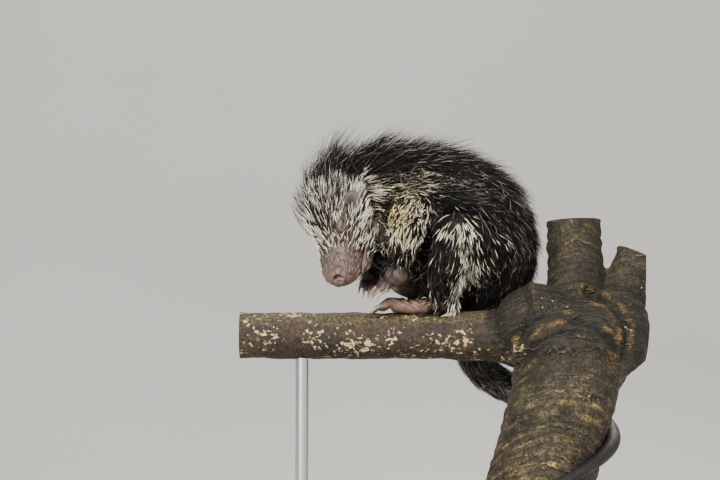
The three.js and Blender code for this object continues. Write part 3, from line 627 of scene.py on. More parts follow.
class Zone:
    """What is known of a set of places on the skin: where they lie, and on which form."""

    def __init__(self, places, facing, home, t, angle):
        self.x, self.y, self.z = places.T
        self.nose, self.crown, self.left = head_view(places).T
        self.facing = facing
        self.home = home
        self.t = t
        self.angle = np.abs(angle)

    def on(self, *kinds):
        """1 on the forms whose names start with one of these words, 0 elsewhere."""
        wanted = [number for number, name in enumerate(FORMS) if name.startswith(kinds)]
        return np.isin(self.home, wanted).astype(float)


places, facing = corners(skin), normals(skin)
home, home_t, home_angle, lie = nearest_form(places)
skin_zone = Zone(places, facing, home, home_t, home_angle)
from_knee = (skin_zone.x - KNEE_FAN["x"]) / KNEE_FAN["width"]
fan = unit(np.column_stack((from_knee, 0 * from_knee, 0 * from_knee - 1)))
lie = blend(lie, fan, skin_zone.on("thigh", "shank") + skin_zone.on("foot") * step(skin_zone.x, 0, 10))
lie = evened(skin, lie - dot(lie, facing) * facing, 12)
# Where the coat parts, as on top of the knee, its hairs stray in all directions
parting = 1 - step(np.linalg.norm(lie, axis=1), 0.15, 0.55)
lie = unit(lie)


# Markings, shared by skin and coat

def paleness(zone):
    """How far pale quills cover a place: the whole head, and strokes over neck, shoulder, flank, knee
    and leg. The back, the rump and the hollow of the flank stay black."""
    x, z = zone.x, zone.z
    body = 0 * x
    for start, end, width, most in STROKES:
        body = np.maximum(body, most * bump(stroke_reach(x, z, start, end), width))
    at_x, at_z = DARK_HOLLOW["at"]
    body *= 1 - bump(np.hypot(x - at_x, z - at_z), DARK_HOLLOW["width"]) * zone.on(*BODY, "thigh")
    off_back = np.where(zone.on(*BODY) > 0, step(zone.angle, 0.6, 0.95), 1)
    off_rump = 1 - step(x, 74, 92)
    body = (FEWEST + (1 - FEWEST) * body) * off_back * off_rump
    head = 1 - 0.8 * crown_of(zone)
    return np.select(
        [zone.on(*HEAD) > 0, zone.on("arm_fore") > 0, zone.on(*BODY, *LIMBS, "foot") > 0],
        [head, 0.3 * body, body], 0)


def crown_of(zone):
    """1 on the black crown at the back of the skull."""
    return zone.on("skull") * step(-zone.nose + 0.35 * zone.crown, 8, 24)


def on_pad(zone):
    """1 on the round pad of the left palm."""
    spread = (np.column_stack((zone.x, zone.y, zone.z)) - PALM_PAD["at"]) / PALM_PAD["size"]
    return 1 - step(np.linalg.norm(spread, axis=1), 1.05, 1.3)


def bareness(zone):
    """1 on bare skin: nose, lips, bare patch of the eye, palms, soles, digits and the tail's far part."""
    eye = np.hypot((zone.nose - EYE["at"][0] - BARE_AHEAD) * 0.7, zone.crown - EYE["at"][1])
    edge = NOSE_FROM + 0.75 * np.maximum(zone.crown, 0)
    outer = np.abs(zone.left) > 12
    face = np.maximum(step(zone.nose, edge, edge + 7), (1 - step(eye, 3.5, 6)) * outer)
    ear = np.hypot(zone.nose - EAR["at"][0] - BARE_AHEAD, zone.crown - EAR["at"][1])
    face = np.maximum(face, (1 - step(ear, 2.2, 5.2)) * outer)
    lips = bump(zone.crown - MOUTH["crown"], 6) * step(zone.nose, 36, 42)
    tail = step(zone.t, TAIL_BARE - 0.05, TAIL_BARE + 0.03)
    return np.select(
        [on_pad(zone) > 0.5, zone.on(*HEAD) > 0, zone.on("hand", "finger", "toe") > 0,
         zone.on("foot") > 0, zone.on("tail") > 0],
        [1, np.maximum(face, lips), 1, 1 - step(zone.x, 4, 12), tail], 0)


def skin_colours(zone, places):
    """Colour of the skin, as dark as the coat over it, and of its bare places."""
    covered = blend("110e0c", "2b241b", paleness(zone))
    face = blend("332925", "4f413c", step(zone.nose, 34, 50))
    blotch = crumple(places, 9, 31)
    shadow = np.clip(bump(zone.crown - 14, 10) + 0.7 * step(blotch, 0.0, 0.5), 0, 1)
    face = blend(face, "3b322f", 0.7 * shadow * step(zone.nose, 44, 54))
    face = blend(face, "634f49", 0.7 * step(zone.nose, 64, 74))
    lips = bump(zone.crown - MOUTH["crown"], 5) * step(zone.nose, 38, 46) * step(np.abs(zone.left), 3, 8)
    face = blend(face, "6e5047", 0.75 * lips)
    eye = np.hypot((zone.nose - EYE["at"][0]) * 0.85, zone.crown - EYE["at"][1])
    face = blend(face, "4a3b38", 1 - step(eye, 4, 8))
    head = blend(covered * 1.3, face, np.maximum(step(zone.nose, 34, 46), 1 - step(eye, 5, 9)))
    # Painted shade: the places pushed deepest into the face, the nostrils, the mouth line, the eye slits
    # and the beds of the ears, are painted nearly black
    head = blend(head, "1a0c0a", 0.9 * step(face_depth(places), 0.7, 1.7))
    pads = blend("43342f", "201819", step(crumple(places, 5, 41), -0.3, 0.4))
    under = np.maximum(step(-zone.facing[:, 2], -0.4, 0.5), step(np.abs(zone.facing[:, 1]), 0.5, 0.8))
    sole = blend("6e574e", "3f312c", step(crumple(places, 7, 43), -0.1, 0.5))
    feet = blend("4a3b35", sole, under)
    tail = blend("12100f", "191618", step(zone.t, TAIL_BARE - 0.06, TAIL_BARE + 0.04))
    colours = covered
    shades = ((HEAD, head), (("hand", "finger"), pads), (("foot", "toe"), feet), (("tail",), tail))
    for kinds, shade in shades:
        colours = blend(colours, shade, zone.on(*kinds))
    colours = blend(colours, pads, on_pad(zone))
    mottle = 1 + 0.2 * crumple(places, 4, 21)
    return evened(skin, np.clip(colours * mottle[:, None], 0, 1), 3)


# Perch

# Cuts of the saw: where, towards which side, and how far they reach
ALL_THROUGH = 500
CUTS = [
    ((BRANCH["left"], 0, -BRANCH["radius"]), (-1, 0, 0), ALL_THROUGH),
    (tuple(trunk_axis(TRUNK["bottom"])), (0, 0, -1), ALL_THROUGH),
    ((KNOB["end"], 0, -BRANCH["radius"]), (1, 0, 0), ALL_THROUGH),
]
CUTS += [(stem["to"], Vector(stem["to"]) - Vector(stem["from"]), 1.8 * stem["radius"]) for stem in STEMS]


def perch_mesh():
    """The forked limb as one closed body with its bark raised, sawn off flat at its five ends."""
    bm = bmesh.new()
    radius = BRANCH["radius"]
    flared = radius + BRANCH["flare"]
    widening = ((BRANCH["left"] - 20, radius), (-90, radius), (0, radius), (60, radius + 2),
                (95, flared - 2), (BRANCH["right"] + 20, flared))
    stations = [((x, 0, -radius), thick) for x, thick in widening]
    Form(stations, caps=(1, 1), up=UP, around=56, rows=60, cap_share=0.02).add_to(bm)
    stations = [(trunk_axis(z), TRUNK["radius"]) for z in (TRUNK["bottom"] - 20, -90, TRUNK["top"])]
    Form(stations, caps=(1, 1), up=(1, 0, 0), around=90, rows=60, cap_share=0.02).add_to(bm)
    for lump in (KNOB, *LUMPS):
        add_oval(bm, lump["at"], lump["size"])
    for stem in STEMS:
        foot, end = np.array(stem["from"], float), np.array(stem["to"], float)
        swell = stem["foot"] - stem["radius"]
        stations = [(between(foot, end, share), stem["radius"] + swell * (1 - share) ** 3)
                    for share in (0, 0.2, 0.45, 0.7, 1, 1.2)]
        Form(stations, caps=(1, 1), up=(0, 1, 0), around=48, rows=50, cap_share=0.02).add_to(bm)
    mesh = fused(to_mesh("limb", bm), LIMB_VOXEL, 6)
    places, facing = corners(mesh), normals(mesh)
    x, y, z = places.T
    trunk_part = on_trunk(places)
    lumps = 1.3 * crumple(places, 26, 1) + 0.6 * crumple(places, 9, 5)
    along_branch = 0.5 * crumple(places * (0.25, 1, 1), 4, 9)
    scars = SCAR["height"] * leaf_scars(places)
    collars = sum(3.2 * bump(ring_height(places) - at, 4.5) for at in COLLARS)
    ringed = scars + collars + 0.4 * crumple(places, 4, 2)
    height = lumps + (1 - trunk_part) * along_branch + trunk_part * ringed
    fold = from_fold(places)
    height += step(-y, 4, 16) * (1.6 * bump(fold - 6.5, 2.6) - 3.0 * bump(fold, 2.4))
    under_feet = step(z, -10, -3) * window(x, -60, -48, 84, 104)
    height = np.where(height > 0, height * (1 - under_feet), height)
    move(mesh, places + facing * (height - 0.8)[:, None])
    bm = bmesh.new()
    bm.from_mesh(mesh)
    for number, (at, towards, reach) in enumerate(CUTS):
        near = [face for face in bm.faces if (face.calc_center_median() - Vector(at)).length < reach]
        around = dict.fromkeys(item for face in near for item in (*face.verts, *face.edges))
        cut = bmesh.ops.bisect_plane(
            bm, geom=[*around, *near], plane_co=at, plane_no=towards, clear_outer=True)
        rim = [item for item in cut["geom_cut"] if isinstance(item, bmesh.types.BMEdge)]
        sawn = bmesh.ops.holes_fill(bm, edges=rim, sides=0)["faces"]
        bmesh.ops.recalc_face_normals(bm, faces=bm.faces[:])
        for face in sawn:
            face.material_index = number + 1
    bmesh.ops.triangulate(bm, faces=[face for face in bm.faces if len(face.verts) > 4])
    return to_mesh("limb", bm)


def leaf_scars(places):
    """1 along each ring scar, falling to 0 between them."""
    turn = ring_height(places) / SCAR["spacing"]
    from_ring = 1 - np.abs((turn % 1) - 0.5) * 2
    return bump(from_ring, SCAR["width"]) * (0.4 + 0.9 * np.abs(crumple(places, 14, 17)))


def ring_height(places):
    """Height of each place along the trunk, measured in rings that stand higher at the viewer's side."""
    return places[:, 2] + SCAR["arch"] * places[:, 1] + 2.6 * crumple(places, 24, 12)


def from_fold(places):
    """Distance of each place, in side view, from the nearest groove of the fork, a little wavy."""
    reach = np.min([stroke_reach(places[:, 0], places[:, 2], *fold) for fold in FORK_FOLDS], axis=0)
    return reach + 0.9 * crumple(places, 12, 33)


def on_trunk(places):
    """1 on the trunk, its stems and the swollen fork, 0 on the branch."""
    x, _, z = places.T
    lump = LUMPS[0]
    on_lump = 1 - step(np.linalg.norm((places - lump["at"]) / lump["size"], axis=1), 1.12, 1.25)
    middle = np.minimum(TRUNK["x"] + TRUNK["lean"] * z, TRUNK["x"])
    return np.maximum(on_lump, step(x - middle, -64, -50))


def bark_colours(places, facing):
    """Red-brown on the branch with painted light on its top, which is paler where it faces up; olive on the
    trunk with golden patches, darker round the swollen fork, and with painted shade in the fork's grooves."""
    broad = step(crumple(places, 24, 61), -0.4, 0.4)
    fine = step(crumple(places, 7, 62), -0.4, 0.5)
    branch = blend("150f09", "291e12", 0.6 * broad + 0.4 * fine)
    # Painted light: the top of the branch, where it faces up, is painted paler
    branch = blend(branch, "3e3626", 0.9 * step(facing[:, 2], 0.3, 0.7))
    leaning = blend("15120a", "362f1d", 0.5 * broad + 0.5 * fine)
    golden = step(crumple(places * (1, 1, 1.8), 16, 63), 0.28, 0.6)
    leaning = blend(leaning, "5e4c2a", 0.45 * golden)
    leaning *= (0.75 + 0.9 * leaf_scars(places))[:, None]
    fork = step(places[:, 2], -75, -30) * (1 - 0.35 * step(places[:, 2], 10, 45))
    leaning = blend(leaning, "100d08", 0.85 * fork)
    fold = from_fold(places)
    rubbed = step(crumple(places, 18, 35), -0.1, 0.3)
    leaning = blend(leaning, "54421f", 0.5 * bump(fold - 6, 2.6) * rubbed)
    # Painted shade: the bark is painted darker along the grooves of the fork
    leaning *= (1 - 0.6 * bump(fold, 2.6))[:, None]
    return blend(branch, leaning, on_trunk(places))


perch = perch_mesh()
perch_faces = [tuple(face.vertices) for face in perch.polygons]
perch_tree = BVHTree.FromPolygons(corners(perch).tolist(), perch_faces)


# Coat

skin_faces = np.empty(len(skin.polygons) * 3, int)
skin.loops.foreach_get("vertex_index", skin_faces)
skin_faces = skin_faces.reshape(-1, 3)
skin_tree = BVHTree.FromPolygons(places.tolist(), skin_faces.tolist())
face_corners = places[skin_faces]
face_area = 0.5 * np.linalg.norm(
    np.cross(face_corners[:, 1] - face_corners[:, 0], face_corners[:, 2] - face_corners[:, 0]), axis=1)
face_facing = unit(facing[skin_faces].mean(axis=1))
face_lie = unit(lie[skin_faces].mean(axis=1))
# Neighbouring hairs stray the same way, so the stray of each place is drawn at random and evened out
stray = evened(skin, RANDOM.normal(size=(len(places), 2)), 40)
stray /= stray.std(axis=0)
face_stray = stray[skin_faces].mean(axis=1)
face_parting = parting[skin_faces].mean(axis=1)


def strand_shape(rings):
    """A straight hair before it is bent: a three-sided cone of radius 1 and length 1, cut into rings."""
    bm = bmesh.new()
    bmesh.ops.create_cone(bm, cap_ends=True, segments=3, radius1=1, radius2=0.001, depth=1,
                          matrix=Matrix.Translation((0, 0, 0.5)))
    for ring in range(1, rings):
        geometry = bm.verts[:] + bm.edges[:] + bm.faces[:]
        bmesh.ops.bisect_plane(bm, geom=geometry, plane_co=(0, 0, ring / rings), plane_no=(0, 0, 1))
    bmesh.ops.remove_doubles(bm, verts=bm.verts[:], dist=0.01)
    bmesh.ops.triangulate(bm, faces=bm.faces[:])
    shape = np.array([vert.co for vert in bm.verts])
    faces = np.array([[vert.index for vert in face.verts] for face in bm.faces])
    bm.free()
    return shape, faces


def nearest_skin(points):
    found = [skin_tree.find_nearest(point) for point in points.tolist()]
    return np.array([spot[0] for spot in found]), np.array([spot[2] for spot in found])


def comb(face, root, growth, length, rise, rings):
    """The way of each hair: step by step along the skin, rising from it towards its tip."""
    sway = np.radians(growth["sway"] + PARTED * face_parting[face])
    spread = sway * (0.6 * face_stray[face, 0] + 0.8 * RANDOM.normal(size=len(face)))
    curl = np.radians(growth.get("curl", 6)) * RANDOM.normal(size=len(face))
    way = [root - face_facing[face] * SINK]
    here = root
    for ring in range(1, rings + 1):
        up, ahead = face_facing[face], face_lie[face]
        ahead = unit(ahead - dot(ahead, up) * up)
        turn = (spread + curl * ring)[:, None]
        ahead = ahead * np.cos(turn) + np.cross(up, ahead) * np.sin(turn)
        if ring == 1:
            first_ahead, first_up = ahead, up
        here, face = nearest_skin(here + ahead * (length / rings)[:, None])
        height = rise * (ring / rings) ** growth.get("bend", 1.2)
        way.append(here + face_facing[face] * height[:, None])
    way = np.stack(way, axis=1)
    stiff = growth.get("stiff", 0)
    if stiff:
        share = np.linspace(0, 1, rings + 1)[None, :, None]
        tilt = (rise / length).clip(0, 0.8)[:, None]
        shaft = first_ahead * np.sqrt(1 - tilt ** 2) + first_up * tilt
        straight = way[:, :1] + shaft[:, None] * length[:, None, None] * share
        way = way * (1 - stiff) + straight * stiff
    for hair, ring in np.argwhere(way[:, :, 2] < NEAR_BARK):
        point = Vector(way[hair, ring])
        spot, out, _, _ = perch_tree.find_nearest(point)
        if (point - spot).dot(out) < CLEAR:
            way[hair, ring] = spot + out * CLEAR
    return way


def everywhere(zone):
    return np.ones(len(zone.x))


def grow(name, growth):
    """Grows one kind of hair or quill over the skin, as joined strands in pieces of a fair size."""
    density = (growth["density"](skin_zone) * (1 - growth.get("bare", skin_bare)))[skin_faces].mean(axis=1)
    count = RANDOM.poisson(np.clip(density, 0, None) * face_area / SQUARE_CM)
    face = np.repeat(np.arange(len(skin_faces)), count)
    RANDOM.shuffle(face)
    weights = RANDOM.dirichlet((1, 1, 1), len(face))
    root = (face_corners[face] * weights[..., None]).sum(axis=1)
    corner = skin_faces[face, 0]
    scale = growth.get("scale", everywhere)(skin_zone)[corner]
    length = growth["length"] * scale * RANDOM.uniform(0.75, 1.2, len(face))
    stand = growth.get("stand", everywhere)(skin_zone)[corner]
    tuft = (1 + 0.2 * face_stray[face, 1]).clip(0.5, 1.5)
    rise = growth["rise"] * stand * tuft * RANDOM.uniform(0.35, 1.1, len(face))
    rings = growth["rings"]
    way = comb(face, root, growth, length, rise, rings)

    shape, shape_faces = strand_shape(rings)
    ring = np.rint(shape[:, 2] * rings).astype(int)
    along = unit(np.gradient(way, axis=1))
    across = unit(np.cross(np.broadcast_to(face_facing[face][:, None], along.shape), along))
    over = np.cross(along, across)
    profile = (1 - shape[:, 2]) ** growth.get("taper", 0.7)
    radius = np.maximum(np.linalg.norm(shape[:, :2], axis=1), 1e-6)
    reach = np.where(ring == rings, 0, profile / radius / 2)
    size = growth["width"] * RANDOM.uniform(0.8, 1.2, (len(face), 1))
    offset = (across[:, ring] * (size * shape[:, 0] * reach)[..., None]
              + over[:, ring] * (size * shape[:, 1] * reach)[..., None])
    spots = way[:, ring] + offset

    shades = growth["shades"]
    chances = np.array([shade[0] for shade in shades], float)
    kind = RANDOM.choice(len(shades), len(face), p=chances / chances.sum())
    stops = np.array([[colour(code) for code in shade[1:]] for shade in shades])[kind]
    part = shape[:, 2] ** growth.get("tipped", 1) * 2
    low = np.minimum(part.astype(int), 1)
    share = (part - low)[None, :, None]
    colours = stops[:, low] * (1 - share) + stops[:, low + 1] * share
    colours *= RANDOM.uniform(0.7, 1.15, (len(face), 1, 1))
    if "warm" in growth:
        tint = growth["warm"](skin_zone)[corner][:, None]
        colours = blend(colours, colours * colour(WARM), tint * np.ones(colours.shape[:2]))

    # Each hair's patch lies at its root's place on an unwrap of the forms: round them and along them
    used, cell = np.unique(home[corner], return_inverse=True)
    cells = math.ceil(math.sqrt(len(used)))
    unwrap = np.column_stack((home_angle[corner] / (2 * math.pi) + 0.5, home_t[corner]))
    unwrap = (unwrap * 0.98 + 0.01 + np.column_stack((cell % cells, cell // cells))) / cells
    unwrap = unwrap[:, None] + PATCH * np.column_stack((0.5 + 0.5 * shape[:, 0], shape[:, 2]))[None]

    pieces = math.ceil(len(face) * len(shape_faces) / PIECE_LIMIT)
    for number, some in enumerate(np.array_split(np.arange(len(face)), pieces)):
        first = (np.arange(len(some)) * len(shape))[:, None, None]
        faces = (shape_faces[None] + first).reshape(-1, 3)
        mesh = bpy.data.meshes.new(name)
        mesh.from_pydata(spots[some].reshape(-1, 3), [], faces)
        paint(mesh, "Markings", colours[some].reshape(-1, 3))
        layer = mesh.uv_layers.new(name="OFBake")
        layer.uv.foreach_set("vector", unwrap[some].reshape(-1, 2)[faces.ravel()].ravel())
        finish_piece(f"{name}_{number + 1}" if pieces > 1 else name, mesh, [growth["finish"]])


# Finishes

def wire(node, inputs):
    """Sets inputs of a node: to a value, to a socket, or to the first output of another node."""
    for name, value in inputs.items():
        if isinstance(value, bpy.types.Node):
            value = value.outputs[0]
        if isinstance(value, bpy.types.NodeSocket):
            node.id_data.links.new(value, node.inputs[name])
        else:
            node.inputs[name].default_value = value


def add(tree, kind, inputs=(), stops=(), **settings):
    """Adds a shader node with its settings, its inputs and the stops of its colours."""
    made = tree.nodes.new("ShaderNode" + kind)
    for name, value in settings.items():
        setattr(made, name, value)
    wire(made, dict(inputs))
    for number, (place, code) in enumerate(stops):
        ramp = made.color_ramp.elements
        element = ramp[number] if number < 2 else ramp.new(place)
        element.position = place
        element.color = (*colour(code), 1)
    return made


def finish(name, **sockets):
    """A material with its surface shader, whose plain sockets are given by name."""
    material = bpy.data.materials.new(name)
    material.use_nodes = True
    surface = material.node_tree.nodes["Principled BSDF"]
    wire(surface, {socket.replace("_", " "): value for socket, value in sockets.items()})
    return material, material.node_tree, surface


def grain(tree, size, detail=3.0, stretch=(1, 1, 1), rough=0.55):
    """Soft random pattern with waves of that many millimetres, from the object's own coordinates."""
    spot = add(tree, "TexCoord")
    mapping = add(tree, "Mapping", {"Vector": spot.outputs["Object"], "Scale": stretch})
    return add(tree, "TexNoise", {
        "Vector": mapping, "Scale": 1 / (size * MM), "Detail": detail, "Roughness": rough})


def measured(tree, name):
    """A measure of the mesh, as a socket."""
    return add(tree, "Attribute", attribute_name=name).outputs["Fac"]


def shaded(name, first, second, size, detail=2, stretch=(1, 1, 1), relief=None, **sockets):
    """A finish that runs from one colour to the other along a grain, which relief also raises."""
    material, tree, surface = finish(name, **sockets)
    pattern = grain(tree, size, detail, stretch)
    ramp = add(tree, "ValToRGB", {"Fac": pattern}, stops=((0.3, first), (0.7, second)))
    wire(surface, {"Base Color": ramp})
    if relief:
        strength, height = relief
        wire(surface, {"Normal": add(tree, "Bump", {
            "Height": pattern, "Strength": strength, "Distance": height * MM})})
    return material


def keratin(name, roughness, specular):
    """Hair or quill: its colour runs along it, each strand a little lighter or darker than the next."""
    material, tree, surface = finish(name, Roughness=roughness, Specular_IOR_Level=specular)
    marking = add(tree, "Attribute", attribute_name="Markings")
    light = add(tree, "MapRange", {
        "Value": grain(tree, 5), "From Min": 0.3, "From Max": 0.7, "To Min": 0.8, "To Max": 1.2})
    wire(surface, {"Base Color": add(tree, "HueSaturation", {"Color": marking, "Value": light})})
    return material


def living_skin():
    """Bare, slightly moist skin: fine creases and pores, and rings of small scales on the tail."""
    material, tree, surface = finish("living_skin", Roughness=0.5, Specular_IOR_Level=0.3,
                                     Subsurface_Weight=0.08, Subsurface_Scale=0.002)
    marking = add(tree, "Attribute", attribute_name="Markings")
    light = add(tree, "MapRange", {
        "Value": grain(tree, 2.2, 4), "From Min": 0.3, "From Max": 0.7, "To Min": 0.86, "To Max": 1.12})
    round_tail, along_tail, bare_tail = (measured(tree, name) for name in TAIL_MEASURES)
    place = add(tree, "CombineXYZ", {"X": round_tail, "Y": along_tail})
    scales = add(tree, "TexVoronoi", {
        "Vector": place, "Scale": 1 / SCALE_WIDTH, "Randomness": 0.35}, feature="DISTANCE_TO_EDGE")
    raised = add(tree, "MapRange", {"Value": scales, "From Min": 0.02, "From Max": 0.22})
    relief = add(tree, "Mix", {"Factor": bare_tail, "A": grain(tree, 0.8, 2), "B": raised})
    shade = add(tree, "HueSaturation", {"Color": marking, "Value": light})
    edge = add(tree, "MapRange", {
        "Value": scales, "From Min": 0.0, "From Max": 0.18, "To Min": 0.55, "To Max": 1.1})
    lines = add(tree, "Mix", {"Factor": bare_tail, "A": 1.0, "B": edge})
    scaled = add(tree, "HueSaturation", {"Color": shade, "Value": lines})
    fine = add(tree, "Bump", {"Height": relief, "Strength": 0.55, "Distance": 0.35 * MM})
    creases = grain(tree, 1.6, 3, (1, 1, 0.4))
    folds = add(tree, "Bump", {
        "Height": creases, "Normal": fine, "Strength": 0.5, "Distance": 0.5 * MM})
    wire(surface, {"Base Color": scaled, "Normal": folds})
    return material


def bark():
    """Thin tropical bark: brown with an olive film, rusty where it rubbed off, flecked with lichen."""
    material, tree, surface = finish("thin_bark", Roughness=0.72, Specular_IOR_Level=0.35)
    marking = add(tree, "Attribute", attribute_name="Markings")
    speckle = grain(tree, 2.6, 4, (1, 1, 0.8), 0.75)
    worn = add(tree, "MapRange", {
        "Value": speckle, "From Min": 0.4, "From Max": 0.66, "To Min": 0.3, "To Max": 2.6})
    # Fine lines that run round the trunk
    ring = measured(tree, "Ring")
    spot = add(tree, "TexCoord")
    apart = add(tree, "SeparateXYZ", {"Vector": spot.outputs["Object"]})
    sideways = add(tree, "Math", {0: apart, 1: 0.12}, operation="MULTIPLY")
    ring_place = add(tree, "CombineXYZ", {"X": sideways, "Y": ring})
    lines = add(tree, "TexNoise", {
        "Vector": ring_place, "Scale": 1 / (3.2 * MM), "Detail": 3.0, "Roughness": 0.6})
    dark_lines = add(tree, "MapRange", {
        "Value": lines, "From Min": 0.35, "From Max": 0.66, "To Min": 0.45, "To Max": 1.7})
    # Pale rims of the old leaves' rings, broken here and there
    waver = add(tree, "Math", {0: grain(tree, 26, 2), 1: 2.2}, operation="MULTIPLY")
    rings = add(tree, "Math", {
        0: ring, 1: 1 / (RING_SPACING * MM), 2: waver}, operation="MULTIPLY_ADD")
    off_ring = add(tree, "Math", {0: rings, 1: 0.5}, operation="PINGPONG")
    rim = add(tree, "MapRange", {
        "Value": off_ring, "From Min": 0.03, "From Max": 0.12, "To Min": 1.0, "To Max": 0.0})
    broken = add(tree, "MapRange", {
        "Value": grain(tree, 18, 3, (1, 1, 2)), "From Min": 0.42, "From Max": 0.62, "To Min": 0.3,
        "To Max": 3.2})
    lined = add(tree, "Math", {0: rim, 1: broken, 2: dark_lines}, operation="MULTIPLY_ADD")
    ringed = add(tree, "Mix", {"Factor": measured(tree, "Trunk"), "A": 1.0, "B": lined})
    bright = add(tree, "Math", {0: worn, 1: ringed}, operation="MULTIPLY")
    mixed = add(tree, "HueSaturation", {"Color": marking, "Value": bright})
    # Flecks of lichen, where both a fine and a broad pattern are high
    limit = add(tree, "Math", {0: grain(tree, 30, 3), 1: measured(tree, "Lichen")},
                operation="MULTIPLY")
    both = add(tree, "Math", {0: limit, 1: grain(tree, 3.4, 4, (0.8, 1, 1), 0.62)}, operation="ADD")
    lichen = add(tree, "MapRange", {"Value": both, "From Min": 1.03, "From Max": 1.07})
    flecked = add(tree, "Mix", {
        "Factor": lichen, "A": mixed, "B": (*colour("a2966f"), 1)}, data_type="RGBA")
    fine = add(tree, "Math", {0: speckle, 1: ringed}, operation="ADD")
    relief = add(tree, "Bump", {"Height": fine, "Strength": 0.8, "Distance": 0.9 * MM})
    wire(surface, {"Base Color": flecked.outputs["Result"], "Normal": relief})
    return material


def sawn_wood(heart):
    """A pale sawn end of the limb, with faint growth rings round its heart."""
    material, tree, surface = finish("sawn_wood", Roughness=0.7)
    spot = add(tree, "TexCoord")
    from_heart = add(tree, "Mapping", {
        "Vector": spot.outputs["Object"], "Location": -(TO_PART @ Vector(heart))})
    rings = add(tree, "TexWave", {
        "Vector": from_heart, "Scale": 1 / (10 * MM), "Distortion": 1.5, "Detail": 2.0},
        wave_type="RINGS", rings_direction="SPHERICAL")
    shade = add(tree, "ValToRGB", {"Fac": rings.outputs["Fac"]}, stops=(
        (0.0, "a78458"), (1.0, "c9aa7c")))
    wire(surface, {"Base Color": shade})
    return material


def brushed_steel():
    """Steel rod brushed round its length, which spreads the shine across it."""
    material, tree, surface = finish(
        "brushed_steel", Metallic=1.0, Roughness=0.32, Base_Color=(*colour("b9bbbd"), 1))
    relief = add(tree, "Bump", {
        "Height": grain(tree, 1.2, 3, (0.3, 0.3, 6)), "Strength": 0.2, "Distance": 0.1 * MM})
    wire(surface, {"Normal": relief})
    return material


TAIL_MEASURES = ("Round tail", "Along tail", "Bare tail")
HAIR = keratin("soft_hair", 0.55, 0.17)
QUILL = keratin("quill_keratin", 0.35, 0.45)
SKIN = living_skin()


# Skin, limb and small pieces

FLESH_NODES = [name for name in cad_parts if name.split("_")[0] in (
    "torso", "neck", "head", "thigh", "shank", "arm", "hand", "foot", "tail")]
skin_bare = bareness(skin_zone)
paint(skin, "Markings", skin_colours(skin_zone, places))
tail_line = FORMS["tail"].table[:, :3]
tail_length = np.linalg.norm(np.diff(tail_line, axis=0), axis=1).sum()
measure(skin, "Along tail", skin_zone.t * tail_length)
measure(skin, "Round tail", home_angle * TAIL_RADIUS)
measure(skin, "Bare tail", skin_zone.on("tail") * step(skin_zone.t, TAIL_BARE - 0.03, TAIL_BARE + 0.03))
finish_piece("skin", skin, [SKIN], FLESH_NODES)

bark_places = corners(perch)
x, _, z = bark_places.T
paint(perch, "Markings", bark_colours(bark_places, normals(perch)))
patches = 0.2 * sum(bump(stroke_reach(x, z, spot, np.add(spot, 1)), 9) for spot in LICHEN_PATCHES)
measure(perch, "Lichen", LICHEN * (1 - 0.22 * on_trunk(bark_places)) + patches)
measure(perch, "Ring", ring_height(bark_places) * MM)
measure(perch, "Trunk", on_trunk(bark_places))
woods = [bark(), *(sawn_wood(place) for place, _, _ in CUTS)]
finish_piece("limb", perch, woods, ("perch_trunk", "perch_branch"))


def small_mesh(name, parts):
    """Small forms, or ovals given by place and size, as one mesh."""
    bm = bmesh.new()
    for part in parts:
        if isinstance(part, Form):
            part.add_to(bm)
        else:
            add_oval(bm, *part, HEAD_AXES)
    return to_mesh(name, bm)


def ear_mesh():
    """Both ears: an oval ball whose outer half is pressed in to a cup, with a rolled rim and a fold."""
    bm = bmesh.new()
    for side in (1, -1):
        made = bmesh.ops.create_uvsphere(bm, u_segments=40, v_segments=28, radius=1)
        turn = math.radians(EAR["turn"]) * -side
        axes = HEAD_AXES @ np.array(Matrix.Rotation(turn, 3, Vector(HEAD_AXES[1]))).T
        centre = paired(EAR, side)
        for vert in made["verts"]:
            ahead, over, out = vert.co
            edge = math.hypot(ahead, over)
            if out > 0:
                fold = 0.16 * bump(edge - 0.62, 0.1) * max(0.0, -ahead + 0.3)
                out = -0.3 * out + fold + 0.14
            else:
                out *= 1.02
            rim = 1 + 0.06 * bump(edge - 0.93, 0.08)
            notch = 1 - 0.3 * bump(math.atan2(over, ahead) - 0.4, 0.5)
            local = np.array((ahead * rim * notch, over * rim * notch, side * out)) * EAR["size"]
            vert.co = centre + local @ axes
    bmesh.ops.recalc_face_normals(bm, faces=bm.faces[:])
    return to_mesh("ears", bm)


ears = ear_mesh()
ear_nose, ear_crown, _ = head_view(corners(ears)).T
from_hollow = np.hypot(ear_nose - EAR["at"][0] - 2.5, ear_crown - EAR["at"][1] + 0.5) / EAR["size"][0]
# Painted shade: each ear is painted darkest in the hollow of its cup, paler towards its rim
paint(ears, "Markings", blend("251d20", "54474c", step(from_hollow, 0.2, 0.9)))
for missing in TAIL_MEASURES:
    measure(ears, missing, np.zeros(len(ear_nose)))
finish_piece("ears", ears, [SKIN], ("ear_left", "ear_right"))
# Claw horn: smooth, grey and slightly clear, paler in streaks along the claw
horn = shaded("claw_horn", "453f39", "8b8276", 2.5, 3, (0.4, 1, 1), Roughness=0.3,
              Specular_IOR_Level=0.55, Subsurface_Weight=0.1, Subsurface_Scale=0.001)
finish_piece("claws", small_mesh("claws", CLAWS), [horn])
# Dark brown eye under a wet, clear surface that gives a sharp highlight
wet_eye = shaded("wet_eye", "0c0706", "24130c", 2, Roughness=0.12, Coat_Weight=1.0, Coat_Roughness=0.03)
eyes = small_mesh("eyes", [(paired(EYE, side), (EYE["radius"],) * 3) for side in (1, -1)])
finish_piece("eyes", eyes, [wet_eye], ("eye_left", "eye_right"))

